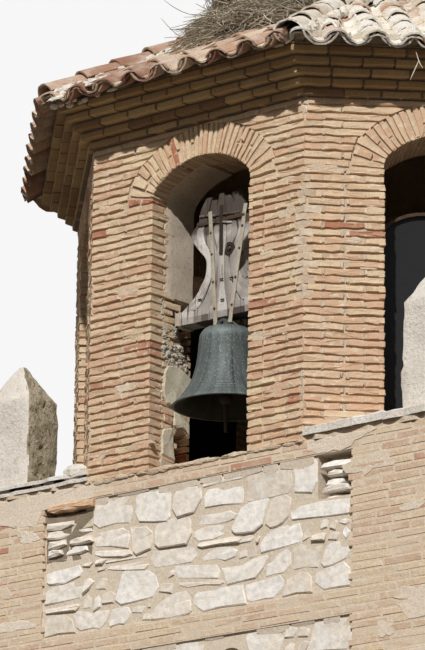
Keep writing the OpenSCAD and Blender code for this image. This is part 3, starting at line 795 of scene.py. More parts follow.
# %% Bricks of the shaft
shaft_joint, toothing, quoin_proud = 0.014, 0.02, 0.004
for q, side_name in enumerate(side_names):
    shaft = Blocks(20 + q, bevel=0.004, wear=0.002)
    face = shaft_face(q)
    rng = shaft.rng
    for c, (low, high, in_panel) in enumerate(course_rows):
        z0, z1 = low + shaft_joint / 2, high - shaft_joint / 2
        left_end, right_end = quoin_ends(c + q + 1)
        inner = panel_half - (toothing if c % 2 else 0.01) + rng.uniform(-0.02, 0.02)
        if in_panel:
            stretches = [(-shaft_half + left_end + shaft_joint, -inner),
                         (inner, shaft_half - right_end - shaft_joint)]
        else:
            stretches = [(-shaft_half + left_end + shaft_joint, shaft_half - right_end - shaft_joint)]
        if q == 2 and z0 < door_height + door_margin:
            gap = door_half if z0 < door_height else 0.0
            surround = door_half + door_margin + (toothing if c % 2 else 0)
            if in_panel:
                stretches += [(-surround, -gap), (gap, surround)] if gap else [(-surround, surround)]
            elif gap:
                stretches = [(stretches[0][0], -gap), (gap, stretches[0][1])]
        for u0, u1 in ((-shaft_half - quoin_proud, -shaft_half + left_end),
                       (shaft_half - right_end, shaft_half + quoin_proud)):
            shaft.lay(face, oblong(u0, u1, z0, z1), quoin_proud, 0.03, brick_tone(rng), halves=False)
        for a, b in stretches:
            for u0, u1 in run_of_bricks(rng, a, b):
                sag = rng.normal(0, 0.0015, 4)
                shaft.lay(face, oblong(u0, u1, z0, z1, sag),
                          0.003 + rng.uniform(-0.0025, 0.0015), 0.03, brick_tone(rng), halves=False)
    place_piece(shaft.mesh("shaft_bricks_" + side_name), shaft_brick_finish)

# %% [markdown]
# The rubble is laid in rough courses of broken limestone, with mortar pressed in almost flush. So
# each panel is first cut by wavy lines into rows, then each row into stones with slanting ends. A
# stone loses some corners, its front leans out at the foot, and only that foot throws a shadow. Here
# and there two layers of small stones fill a gap, as masons do to save mortar.

# %% Helpers that break a panel into stones
def clip(polygon, normal, limit):
    """Keeps the part of a polygon where normal . point <= limit."""
    kept = []
    for k, point in enumerate(polygon):
        previous = polygon[k - 1]
        here, before = normal @ point - limit, normal @ previous - limit
        if here * before < 0:
            kept.append(previous + (point - previous) * (before / (before - here)))
        if here <= 0:
            kept.append(point)
    return kept


def keep_off(outline, low, high):
    """Cuts a stone back from a rectangle that it reaches into; nothing is left if its middle is inside."""
    if (outline.max(0) <= low).any() or (outline.min(0) >= high).any():
        return outline
    middle = outline.mean(0)
    past = np.maximum(low - middle, middle - high)
    if (past <= 0).all():
        return outline[:0]
    k = int(np.argmax(past))
    below = middle[k] < low[k]
    way = np.zeros(2)
    way[k] = 1.0 if below else -1.0
    return np.array(clip(list(outline), way, low[k] if below else -high[k]))


def keep_off_all(outline, zones):
    """Cuts a stone back from each of the zones."""
    for low, high in zones:
        if len(outline) > 2:
            outline = keep_off(outline, np.array(low), np.array(high))
    return outline


def break_corners(rng, corners, chance=0.75):
    """Cuts corners off a stone and bends its long edges a little."""
    points = []
    for k, here in enumerate(corners):
        before, after = corners[k - 1], corners[(k + 1) % len(corners)]
        back, on = np.linalg.norm(before - here), np.linalg.norm(after - here)
        if rng.random() < chance:
            size = rng.uniform(0.02, 0.085)
            points += [here + (before - here) * min(size * rng.uniform(0.4, 1.4) / back, 0.4),
                       here + (after - here) * min(size * rng.uniform(0.4, 1.4) / on, 0.4)]
        else:
            points.append(here)
        if on > 0.16:
            points.append(here + (after - here) * rng.uniform(0.42, 0.58) + rng.normal(0, 0.007, 2))
    return np.array(points)


split_share, chip_share = 0.13, 0.36


def rubble_rows(rng, low, high, row_height=0.205, width=(0.2, 0.5), gap=(0.004, 0.024)):
    """Outlines of the stones in a panel from corner low to corner high, and of the chips."""
    (u_low, z_low), (u_high, z_high) = low, high
    count = max(2, round((z_high - z_low) / row_height))
    shares = rng.uniform(0.7, 1.3, count)
    lines = z_low + np.concatenate([[0], np.cumsum(shares) / shares.sum()]) * (z_high - z_low)
    seed = rng.uniform(0, 90)

    def line(k, u):
        """Height of the wavy line k at u: the panel's own edges are straight."""
        wave = 0.0 if k in (0, count) else 0.09 * noise.noise((u * 2.1, seed + k * 3.7, 0.0))
        return lines[k] + wave

    stones, chips = [], []
    for k in range(count):
        u = u_low
        slant = 0.0
        while u < u_high - 0.06:
            end = min(u + rng.uniform(*width), u_high)
            if u_high - end < 0.14:
                end = u_high
            next_slant = 0.0 if end == u_high else rng.uniform(-0.045, 0.045)
            g = rng.uniform(*gap, 4) / 2
            corners = np.array([
                (u - slant + g[0], line(k, u) + g[1]), (end - next_slant - g[2], line(k, end) + g[1]),
                (end + next_slant - g[2], line(k + 1, end) - g[3]),
                (u + slant + g[0], line(k + 1, u) - g[3])])
            if rng.random() < split_share:
                split = rng.uniform(0.3, 0.7)
                left = corners[0] + (corners[3] - corners[0]) * split
                right = corners[1] + (corners[2] - corners[1]) * (split + rng.uniform(-0.1, 0.1))
                drop = np.array((0, rng.uniform(0.006, 0.012)))
                stones += [[corners[0], corners[1], right - drop, left - drop],
                           [left + drop, right + drop, corners[2], corners[3]]]
            else:
                stones.append(list(corners))
            u = end
            if rng.random() < chip_share and u < u_high - 0.3:
                chips_wide, layers = rng.uniform(0.16, 0.36), 2
                for layer in range(layers):
                    v = u
                    while v < u + chips_wide - 0.03:
                        wide = min(rng.uniform(0.06, 0.15), u + chips_wide - v)
                        room = (line(k + 1, v) - line(k, v)) / layers
                        z = line(k, v) + room * (layer + rng.uniform(0.08, 0.2))
                        tall = room * rng.uniform(0.66, 0.86)
                        tip = rng.uniform(-0.18, 0.18, 4) * tall
                        if rng.random() < 0.92:
                            chips.append([(v, z + tip[0]), (v + wide * rng.uniform(0.6, 1.0), z + tip[1]),
                                          (v + wide, z + tall * 0.7), (v + wide * 0.6, z + tall + tip[2]),
                                          (v + wide * 0.05, z + tall * 0.8 + tip[3])])
                        v += wide + rng.uniform(0.006, 0.02)
                u += chips_wide
            slant = next_slant
    return [np.array(stone) for stone in stones], [np.array(chip) for chip in chips]


print("stones, chips in a test panel:",
      [len(found) for found in rubble_rows(np.random.default_rng(1), (0, 0), (2.97, 1.0))])

# %% Rubble stones of the four sides
rubble_set = shaft_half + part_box("rubble_front")[0].y
slit_zone = ((slit_middle - slit_half - 0.02, slit_low - 0.02),
             (slit_middle + slit_half + 0.02, slit_top + 0.02))
door_zone = ((-door_half - door_margin - 0.09, 0.0),
             (door_half + door_margin + 0.09, door_height + door_margin + 0.03))
stacked_zone = ((-panel_half, 8.9), (-panel_half + 0.5, panel_tops[0]))
worn_zone = ((panel_half - 0.33, panel_tops[0] - 0.35), (panel_half, panel_tops[0]))
panel_zones = [[slit_zone, stacked_zone, worn_zone], [slit_zone], [slit_zone], [slit_zone]]
for q, side_name in enumerate(side_names):
    rubble = Blocks(30 + q, bevel=0.008, wear=0.003)
    face = shaft_face(q)
    rng = rubble.rng
    for row, top in enumerate(panel_tops):
        low = top - panel_height + 0.008
        stones, chips = rubble_rows(rng, (-panel_half + 0.02, low), (panel_half - 0.02, top - 0.008))
        for n, outline in enumerate(stones + chips):
            chip = n >= len(stones)
            outline = keep_off_all(outline, panel_zones[q] + [door_zone] * (q == 2))
            if len(outline) < 3 or np.ptp(outline, axis=0).min() < 0.02:
                continue
            points = outline if chip else break_corners(rng, outline)
            tall = np.ptp(points[:, 1])
            foot = rng.uniform(0.003, 0.013) if rng.random() < 0.86 else rng.uniform(0.014, 0.026)
            lean = (rng.normal(0, 0.012), -foot / max(tall, 0.03))
            rubble.lay(face, points, -rubble_set + 0.001 + foot / 2, 0.04,
                       rng.uniform(0.0, 0.5) if chip else rng.uniform(0.12, 1.0), halves=False,
                       bevel=min(0.008, tall * 0.15), lean=lean)
    place_piece(rubble.mesh("rubble_stones_" + side_name), stone_finish)

# %% [markdown]
# Under the top band two pockets have lost their stones and mortar. Thin stones lie stacked in them
# and below, with dark gaps, and a long brown one still spans the left pocket. Behind the left stack
# the gaps are painted shade: a sheet of darker mortar. Above, the courses are smeared over with
# mortar, as they are in places all over the shaft.

# %% Thin stones stacked in the worn pockets, and smeared mortar
pocket_stones = Blocks(41, bevel=0.012, wear=0.006)
rng = pocket_stones.rng
pockets = ((-panel_half + 0.02, -panel_half + 0.50, 8.91, 0.36, 5, 0.0),
           (panel_half - 0.32, panel_half - 0.03, panel_tops[0] - 0.36, 0.31, 5, 0.015))
pocket_depth = 0.15
for u0, u1, low, filled, count, back in pockets:
    height = filled / count
    for k in range(count):
        z = low + k * height
        u = u0 + rng.uniform(0.0, 0.05)
        while u < u1 - 0.08:
            width = min(rng.uniform(0.14, 0.3), u1 - u)
            thick = height * rng.uniform(0.78, 0.96)
            set_back = back + rng.uniform(-0.015, 0.03)
            tip = rng.uniform(-0.14, 0.14, 4) * thick
            outline = [(u, z + tip[0]), (u + width * rng.uniform(0.3, 0.7), z + tip[1]),
                       (u + width, z + thick * 0.2), (u + width * 0.93, z + thick * 0.8),
                       (u + width * 0.4, z + thick + tip[2]), (u + width * 0.05, z + thick * 0.8 + tip[3])]
            tone, lean = rng.uniform(0.1, 0.9), (rng.uniform(-0.1, 0.1), rng.uniform(-0.3, 0.1))
            pocket_stones.lay(shaft_face(0), outline, -set_back, pocket_depth - set_back, tone,
                              halves=False, lean=lean)
            u += width + rng.uniform(0.005, 0.03)
place_piece(pocket_stones.mesh("pocket_stones"), stone_finish)
lintel = Blocks(43, bevel=0.012, wear=0.006)
lintel.lay(shaft_face(0), [(-1.43, 9.335), (-1.2, 9.312), (-0.97, 9.325), (-0.96, 9.372), (-1.2, 9.385),
                           (-1.42, 9.372)], 0.03, 0.1, 0.3)
place_piece(lintel.mesh("lintel_stone"), brick_finish)
# Painted shade: a sheet of the darker cornice mortar behind the left stack makes its gaps dark.
gaps = Blocks(44, bevel=0.004, wear=0.004)
gaps.lay(shaft_face(0), [(-1.46, 8.95), (-1.0, 8.93), (-0.99, 9.3), (-1.46, 9.3)], 0.001 - rubble_set,
         0.03, 0.3)
place_piece(gaps.mesh("painted_shade_gaps"), cornice_mortar_finish)

smears = Blocks(42, bevel=0.004, wear=0.0012)
rng = smears.rng
smears_each = 110
top_smears = ([(-2.44, 9.495), (-2.44, 9.35), (-2.0, 9.32), (-1.55, 9.24), (-1.5, 9.36), (-0.98, 9.392),
               (-0.97, 9.495)],
              [(1.06, 9.495), (1.07, 9.43), (1.16, 9.388), (1.47, 9.385), (1.52, 9.44), (1.7, 9.495)])
for q in range(4):
    face = shaft_face(q)
    for outline in top_smears if q == 0 else ():
        edges = split_edges(np.array(outline, float), 0.05)
        edges += rng.normal(0, 0.006, edges.shape)
        smears.lay(face, edges.clip((-2.46, 0), (2.46, 9.496)), 0.006, 0.02, 0.3, halves=False)
    for n in range(smears_each):
        way = 1 if n % 2 else -1
        place = way * rng.uniform(1.6, 2.25), rng.uniform(0.3, 9.25)
        outline = ragged_patch(rng, *place, rng.uniform(0.05, 0.2), rng.uniform(0.025, 0.075))
        smears.lay(face, outline, 0.0045, 0.02, halves=False)
    for top in panel_tops:
        u = -panel_half
        while u < panel_half - 0.05:
            end = min(u + rng.uniform(0.08, 0.4), panel_half)
            deep = rng.uniform(0.03, 0.1)
            outline = np.array([
                (u, top - deep * 0.5),
                (u + (end - u) * rng.uniform(0.2, 0.5), top - deep * rng.uniform(0.6, 1.1)),
                (u + (end - u) * rng.uniform(0.6, 0.8), top - deep * rng.uniform(0.6, 1.1)),
                (end, top - deep * 0.5), (end, top + 0.004), (u, top + 0.004)])
            outline = keep_off_all(outline, panel_zones[q])
            if len(outline) > 2 and np.ptp(outline, axis=0).min() > 0.02 and rng.random() < 0.8:
                smears.lay(face, outline, -rubble_set / 2 - 0.002, 0.03, rng.uniform(0.2, 0.7),
                           halves=False, lean=(0.0, rubble_set * 0.7 / deep))
            u = end + rng.uniform(0.0, 0.1)
place_piece(smears.mesh("smeared_mortar"), pointing_finish)

# %% Finishes of the mortar that shows between the blocks
finish_nodes([f"{kind}_{i + 1}" for kind in ("belfry_pier", "arch_head") for i in range(sides)]
             + ["arch_rings", "belfry_floor", "roof_deck"], mortar_finish)
finish_nodes(["shaft_wall_" + side_name for side_name in side_names], pointing_finish)
finish_nodes(["rubble_" + side_name for side_name in side_names], panel_mortar_finish)

# %% [markdown]
# The cornice is five courses of brick, each a little further out than the one below, so its brick
# ends and their undersides both show from the ground. Here the solid is replaced: whole bricks with
# real undersides, on a core that stays a centimetre behind them.

# %% Cornice core and bricks
cornice_courses = 5
step_out = (cornice_r - flat_r) / cornice_courses
step_up = (roof_z - cornice_z) / cornice_courses


def octagon_ring(radius, z):
    reach = radius / math.cos(half_turn)
    return [(reach * math.cos(a), reach * math.sin(a), z)
            for a in (half_turn + k * 2 * half_turn for k in range(sides))]


def join_rings(rings_of_points):
    """Closed band of faces through rings that have as many points each."""
    count, total = len(rings_of_points[0]), len(rings_of_points) * len(rings_of_points[0])
    faces = []
    for low in range(0, total, count):
        high = (low + count) % total
        faces += [(low + k, low + (k + 1) % count, high + (k + 1) % count, high + k) for k in range(count)]
    return [p for ring in rings_of_points for p in ring], faces


core_set = 0.012
core_rings = [octagon_ring(inner_r, cornice_z)]
for k in range(cornice_courses):
    radius = flat_r + (k + 1) * step_out - core_set
    core_rings += [octagon_ring(radius, cornice_z + k * step_up + (core_set if k else 0.0)),
                   octagon_ring(radius, cornice_z + (k + 1) * step_up + (core_set if k < 4 else 0.0))]
core_rings.append(octagon_ring(inner_r, roof_z))
place_piece(plain_mesh("cornice_core", *join_rings(core_rings)), cornice_mortar_finish,
            stands_for=["cornice"])

cornice_bricks = Blocks(51, bevel=0.006, wear=0.0016)
rng = cornice_bricks.rng
cornice_lengths = (0.27, 0.23)
for i in range(sides):
    for k in range(cornice_courses):
        radius = flat_r + (k + 1) * step_out
        face = side_face(i, radius)
        edge = radius * math.tan(half_turn)
        z0 = cornice_z + k * step_up + 0.001
        z1 = z0 + step_up - 0.014
        for u0, u1 in run_of_bricks(rng, -edge + 0.004, edge - 0.004, cornice_lengths[k % 2], 0.02):
            sag = rng.normal(0, 0.001, 2)
            cornice_bricks.lay(face, oblong(u0, u1, z0, z1, (*abs(sag), 0, 0)),
                               -0.003 + rng.uniform(-0.004, 0.003), 0.09, rng.uniform(0.1, 1.0))
place_piece(cornice_bricks.mesh("cornice_bricks"), cornice_finish)

# %% [markdown]
# The roof is laid with barrel tiles: tapered half pipes of fired clay, about 45 cm long. Pans lie
# hollow side up on the deck, and covers ride over the gaps between them. Each tile laps the one below
# by a quarter of its length. Two layers meet at the eave, which gives its double wavy edge. A tile is a
# thin shell with real thickness, so the eave shows dark hollows under every cover. A height on the
# roof is measured square to its slope, and a tile that meets a hip is cut along it.

# %% Slope of the roof and one barrel tile
roof_pitch = math.radians(29)
tile_length, tile_lap = 0.45, 0.12
tile_wide, tile_narrow, tile_wall = 0.102, 0.082, 0.014
tile_spacing = 0.278
tile_arc = math.radians(72)
edge_limit = eave_r - 0.003


def slope_face(i, reach=eave_r, pitch=roof_pitch):
    """Face of one roof side: u along the eave, v up the slope, w square to it; 0 is the deck's plane."""
    along, out = side_axes(i)
    up = -out * math.cos(pitch) + np.array((0, 0, math.sin(pitch)))
    square = out * math.sin(pitch) + np.array((0, 0, math.cos(pitch)))
    return Face(out * reach + np.array((0, 0, eave_z)), along, up, square)


class Tiles(Gathered):
    """Barrel tiles with a tone each."""

    def lay(self, face, u, v, w_low, w_high, cover, tone, cut=None, length=tile_length, scale=1.0,
            swing=0.0):
        """One tile with its lower end at (u, v); cut gives how far it may reach to each side at v."""
        rng = self.rng
        arc_steps, stations = 8, 4
        squash = rng.uniform(0.9, 1.06)
        warp = rng.normal(0, 0.0022, (stations, arc_steps + 1, 1))
        angles = np.linspace(-tile_arc, tile_arc, arc_steps + 1) * rng.uniform(0.95, 1.04)
        rows = []
        for k, share in enumerate(np.linspace(0, 1, stations)):
            narrow_share = share if cover else 1 - share
            half = scale * (tile_wide + (tile_narrow - tile_wide) * narrow_share)
            radius = half / math.sin(tile_arc)
            base = w_low + (w_high - w_low) * share
            for wall, order in ((0.0, 1), (tile_wall, -1)):
                reach = radius - wall
                across = reach * np.sin(angles)
                rise = (reach * np.cos(angles) - radius * math.cos(tile_arc)) * squash
                if not cover:
                    rise = radius * (1 - math.cos(tile_arc)) * squash - rise
                across = across + u + swing * share * length
                ring = np.stack([across, np.full(arc_steps + 1, v + share * length), base + rise], 1)
                ring[:, 2:] += warp[k]
                ring[:, 1] += rng.normal(0, 0.0025, arc_steps + 1) if k == 0 else 0.0
                if cut:
                    limit = np.maximum(cut(ring[:, 1]), 0.0)
                    ring[:, 0] = np.clip(ring[:, 0], -limit, limit)
                rows.append(ring[::order])
        rings = [np.concatenate([rows[2 * k], rows[2 * k + 1]]) for k in range(stations)]
        count = len(rings[0])
        start = sum(len(v) for v in self.verts)
        flat = np.concatenate(rings)
        verts = face.start + flat[:, :1] * face.along + flat[:, 1:2] * face.up + flat[:, 2:] * face.out
        verts[:, :2] = np.clip(verts[:, :2], -edge_limit, edge_limit)
        self.verts.append(verts)
        faces = []
        for low in range(start, start + (stations - 1) * count, count):
            high = low + count
            faces += [(low + n, low + (n + 1) % count, high + (n + 1) % count, high + n)
                      for n in range(count)]
        for end in (start, start + (stations - 1) * count):
            faces += [(end + n, end + n + 1, end + count - 2 - n, end + count - 1 - n)
                      for n in range(arc_steps)]
        self.faces += faces
        self.shade(tone, len(faces))

    def mesh(self, name):
        mesh = toned_mesh(name, np.concatenate(self.verts), self.faces, self.tones, sharp=50)
        mesh.validate()
        return mesh


def hip_line(v, inset=0.01):
    """Half width of a roof side at v up its slope."""
    return (eave_r - v * math.cos(roof_pitch)) * math.tan(half_turn) - inset


nest_low, nest_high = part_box("stick_nest")
nest_middle = np.array(((nest_low.x + nest_high.x) / 2, (nest_low.y + nest_high.y) / 2))
nest_r = (nest_high.x - nest_low.x) / 2


def under_nest(face, u, v):
    """Whether the nest covers this place, so that nothing laid there would show."""
    covered = nest_r * 0.62
    return np.hypot(*(face.at(u, v, 0.1)[:2] - nest_middle)) < covered


print("slope", round(eave_r / math.cos(roof_pitch), 3), "m long; nest", round(nest_r, 3), "m in radius")

# %% Tiles of the eight roof sides
pale_side = 1
cover_heights, pan_heights, eave_drops = (0.052, 0.036), (0.02, 0.004), (0.02, 0.03)
eave_start = 0.04
slope_length = eave_r / math.cos(roof_pitch)
exposure = tile_length - tile_lap
tiles, pale_tiles = Tiles(61), Tiles(62)
columns = 5
for i in range(sides):
    face = slope_face(i)
    batch = pale_tiles if i == pale_side else tiles
    rng = batch.rng
    column_shift = rng.uniform(-0.02, 0.02)
    for column in range(-2 * columns, 2 * columns + 1):
        cover = column % 2 == 0
        u0 = column * tile_spacing / 2 + column_shift
        lean = rng.normal(0, 0.006)
        v = eave_start + rng.uniform(0.0, 0.02)
        row = 0
        while v < slope_length - 0.2:
            u = u0 + rng.normal(0, 0.006) + lean * v
            if abs(u) < hip_line(v) + 0.05 and not under_nest(face, u, v + tile_length / 2):
                low, high = cover_heights if cover else pan_heights
                batch.lay(face, u, v, low, high, cover, rng.uniform(0.0, 1.0), hip_line,
                          swing=rng.normal(0, 0.012))
                if row == 0:
                    drop = eave_drops[cover]
                    batch.lay(face, u + rng.normal(0, 0.004), v + rng.uniform(-0.006, 0.03),
                              low - drop, low - drop, cover, rng.uniform(0.0, 1.0), hip_line, length=0.36,
                              scale=1.0 if cover else 1.62)
            v += exposure + rng.normal(0, 0.008)
            row += 1
tile_finish = weathered("roof_tile", (146, 104, 84), (188, 151, 128), (216, 196, 172),
                        (218, 208, 194), 0.6, lump=0.03, patch=0.28, bump=0.005,
                        fleck=(120, 112, 96), fleck_size=0.02, fleck_share=0.5)
pale_tile_finish = weathered("limed_tile", (196, 156, 130), (226, 214, 196), (240, 236, 228),
                             (240, 238, 232), 0.75, lump=0.03, patch=0.3, bump=0.006,
                             fleck=(150, 138, 116), fleck_size=0.022, fleck_share=0.55)
place_piece(tiles.mesh("roof_tile_courses"), tile_finish, stands_for=["roof_tiles"])
place_piece(pale_tiles.mesh("roof_tile_courses_limed"), pale_tile_finish)

# %% Hip tiles in lime along the eight arrises
hips, limed_hips = Tiles(63), Tiles(64)
corner_reach = eave_r / math.cos(half_turn)
hip_rise = slope_length * math.sin(roof_pitch)
hip_pitch = math.atan2(hip_rise, corner_reach)
hip_length = math.hypot(hip_rise, corner_reach)
hip_heights = (0.10, 0.078)
for i in range(sides):
    face = slope_face(i + 0.5, corner_reach, hip_pitch)
    batch = limed_hips if i in (0, 1) else hips
    rng = batch.rng
    v = 0.13
    while v < hip_length - 0.3:
        if not under_nest(face, 0, v + 0.2):
            batch.lay(face, rng.normal(0, 0.006), v, *hip_heights, True, rng.uniform(0, 1), scale=1.12)
        v += exposure + rng.normal(0, 0.01)
place_piece(hips.mesh("hip_tiles"), tile_finish)
place_piece(limed_hips.mesh("hip_tiles_limed"), pale_tile_finish)

# %% [markdown]
# Lime mortar beds the hip tiles and fills the first pans, and lumps of it have broken loose at the
# eave, most of them at the left corner of the front. A lump is a ball of a few faces pushed in and out
# at random, flattened where it lies.

# %% Lumps of mortar
class Lumps(Gathered):
    """Irregular lumps with a tone each."""

    def __init__(self, seed):
        super().__init__(seed)
        rings, around = 5, 8
        ball = [(0, 0, 1)]
        for r in range(1, rings):
            t = math.pi * r / rings
            for n in range(around):
                a = 2 * math.pi * n / around
                ball.append((math.sin(t) * math.cos(a), math.sin(t) * math.sin(a), math.cos(t)))
        ball.append((0, 0, -1))
        self.ball = np.array(ball)
        last = len(ball) - 1
        self.pattern = [(0, 1 + n, 1 + (n + 1) % around) for n in range(around)]
        for r in range(rings - 2):
            a, b = 1 + r * around, 1 + (r + 1) * around
            self.pattern += [(a + n, b + n, b + (n + 1) % around, a + (n + 1) % around)
                             for n in range(around)]
        a = 1 + (rings - 2) * around
        self.pattern += [(last, a + (n + 1) % around, a + n) for n in range(around)]

    def put(self, face, u, v, w, size, tone=None):
        """A lump at (u, v, w) on a face, size its half lengths along, up and out."""
        rough = self.ball * (1 + self.rng.normal(0, 0.14, (len(self.ball), 1)))
        flat = rough * np.array(size) + np.array((u, v, w))
        start = len(self.verts)
        self.verts += (face.start + flat[:, :1] * face.along + flat[:, 1:2] * face.up
                       + flat[:, 2:] * face.out).tolist()
        self.faces += [tuple(start + k for k in f) for f in self.pattern]
        self.shade(tone, len(self.pattern))

    def mesh(self, name):
        verts = np.array(self.verts)
        verts[:, :2] = np.clip(verts[:, :2], -edge_limit, edge_limit)
        return toned_mesh(name, verts, self.faces, self.tones)


roof_mortar = Lumps(65)
rng = roof_mortar.rng
hip_lump_step, eave_lump_step, broken_count = 0.09, 0.07, 26
for i in range(sides):
    face = slope_face(i)
    v = 0.16
    while v < slope_length - 0.3:
        if not under_nest(face, hip_line(v), v):
            for side in (-1, 1):
                size = (rng.uniform(0.03, 0.055), rng.uniform(0.05, 0.09), rng.uniform(0.03, 0.045))
                roof_mortar.put(face, side * (hip_line(v) - 0.075 - rng.uniform(0, 0.03)), v,
                                0.07 + rng.uniform(0, 0.02), size)
        v += hip_lump_step
    eave_half = hip_line(eave_start)
    for k in range(int(2 * eave_half / eave_lump_step)):
        u = -eave_half + (k + 0.5) * eave_lump_step + rng.normal(0, 0.01)
        roof_mortar.put(face, u, 0.24 + rng.uniform(0, 0.03), 0.02, (0.06, 0.03, 0.055), 0.0)
        if rng.random() < 0.06:
            roof_mortar.put(face, u, 0.11 + rng.uniform(0, 0.03), rng.uniform(-0.005, 0.01),
                            (0.05, 0.02, 0.012))
broken_eave = slope_face(0)
for u, v, w, size in ((-1.12, 0.09, 0.0, 0.03), (-1.05, 0.1, -0.01, 0.022), (-0.98, 0.1, 0.005, 0.028),
                      (-0.92, 0.11, 0.0, 0.02), (-0.83, 0.12, -0.02, 0.024), (-0.7, 0.12, -0.01, 0.02),
                      (-1.0, 0.14, -0.03, 0.03), (-0.9, 0.15, -0.03, 0.022), (-1.14, 0.13, -0.02, 0.022)):
    roof_mortar.put(broken_eave, u, v, w, (size * 1.3, size * 0.8, size * 0.7), 0.9)
for _ in range(broken_count):
    size = rng.uniform(0.03, 0.085)
    roof_mortar.put(slope_face(0), rng.uniform(-1.1, -0.62), rng.uniform(0.05, 0.5), rng.uniform(0.04, 0.1),
                    (size, size * rng.uniform(0.6, 1.3), rng.uniform(0.012, 0.03)), rng.uniform(0.6, 1.0))
roof_mortar_finish = weathered("roof_mortar", (202, 194, 180), (224, 218, 206), (238, 234, 226),
                               (190, 180, 162), 0.4, lump=0.02, bump=0.006)
place_piece(roof_mortar.mesh("roof_mortar_lumps"), roof_mortar_finish)

# %% [markdown]
# The nest on the roof is a heap of sticks, woven round and round and packed with dry stems. A dull core
# gives it its body. On it lie thousands of thin bent sticks. Each follows the nest's curve at its
# place, tips outwards a little and ends in a point, which makes the ragged outline.

# %% Helper for bent sticks
class Sticks:
    """Three-sided bent sticks, gathered as arrays."""

    def __init__(self, seed):
        self.rng = np.random.default_rng(seed)
        self.lines, self.radii, self.tones = [], [], []

    def add(self, line, radius, tone=None):
        """line: five points along the stick."""
        self.lines.append(line)
        self.radii.append(radius)
        self.tones.append(self.rng.random() if tone is None else tone)

    def mesh(self, name):
        lines = np.array(self.lines)
        count, stations = lines.shape[:2]
        way = lines[:, -1] - lines[:, 0]
        way /= np.linalg.norm(way, axis=1, keepdims=True)
        helper = np.where(np.abs(way[:, 2:]) < 0.9, (0, 0, 1), (1, 0, 0))
        first = np.cross(way, helper)
        first /= np.linalg.norm(first, axis=1, keepdims=True)
        second = np.cross(way, first)
        taper = np.array((0.55, 0.95, 1.0, 0.85, 0.3))
        spokes = []
        for k in range(3):
            a = 2 * math.pi * k / 3
            spokes.append(math.cos(a) * first + math.sin(a) * second)
        spokes = np.stack(spokes, 1)
        thick = np.array(self.radii)[:, None, None, None] * taper[None, :, None, None]
        verts = lines[:, :, None, :] + spokes[:, None, :, :] * thick
        verts = verts.reshape(-1, 3)
        verts[:, :2] = np.clip(verts[:, :2], -edge_limit, edge_limit)
        verts[:, 2] = np.minimum(verts[:, 2], nest_high.z - 0.002)
        faces = []
        for base in range(0, count * stations * 3, stations * 3):
            for low in range(base, base + 3 * (stations - 1), 3):
                high = low + 3
                faces += [(low, low + 1, high + 1, high), (low + 1, low + 2, high + 2, high + 1),
                          (low + 2, low, high, high + 2)]
            end = base + 3 * (stations - 1)
            faces += [(base + 2, base + 1, base), (end, end + 1, end + 2)]
        faces_each = 3 * (stations - 1) + 2
        return toned_mesh(name, verts, faces, np.repeat(self.tones, faces_each))


# %% Nest core and its sticks
nest_profile = np.array([(0.60, -0.78), (0.97, -0.46), (1.0, -0.19), (0.95, 0.22), (0.80, 0.385),
                         (0.62, 0.40), (0.50, 0.33), (0.30, 0.28), (0.0, 0.27)])
nest_profile[:, 0] *= nest_r
nest_profile[:, 1] += tile_apex_z
core_around, core_rows, core_points = 72, 33, []
lengths = np.concatenate([[0], np.cumsum(np.hypot(*np.diff(nest_profile, axis=0).T))])


def nest_at(t):
    """Radius and height on the nest's outline at share t of its length, from the foot to the middle."""
    s = t * lengths[-1]
    return np.interp(s, lengths, nest_profile[:, 0]), np.interp(s, lengths, nest_profile[:, 1])


for row in range(core_rows):
    radius, z = nest_at(row / (core_rows - 1) * 0.985)
    for n in range(core_around):
        a = 2 * math.pi * n / core_around
        bump = noise.noise(Vector((math.cos(a) * 3.4, math.sin(a) * 3.4, z * 5))) * 0.09
        bump += noise.noise(Vector((math.cos(a) * 14, math.sin(a) * 14, z * 16))) * 0.035
        reach = max(radius - 0.06 + bump, 0.01)
        core_points.append((nest_middle[0] + reach * math.cos(a), nest_middle[1] + reach * math.sin(a),
                            min(z - 0.02 + bump * 0.4, nest_high.z - 0.03)))
core_quads = [(r * core_around + n, r * core_around + (n + 1) % core_around,
               (r + 1) * core_around + (n + 1) % core_around, (r + 1) * core_around + n)
              for r in range(core_rows - 1) for n in range(core_around)]
core_quads += [tuple(range(core_around))[::-1],
               tuple(range((core_rows - 1) * core_around, core_rows * core_around))]
straw_core_finish = weathered("packed_straw", (86, 78, 67), (114, 105, 90), (144, 134, 117),
                              (84, 76, 60), 0.5, grain=0.006, lump=0.03, patch=0.2, bump=0.03,
                              fleck=(176, 166, 138), fleck_size=0.012, fleck_share=0.6)
place_piece(plain_mesh("nest_core", core_points, core_quads), straw_core_finish,
            stands_for=["stick_nest"])

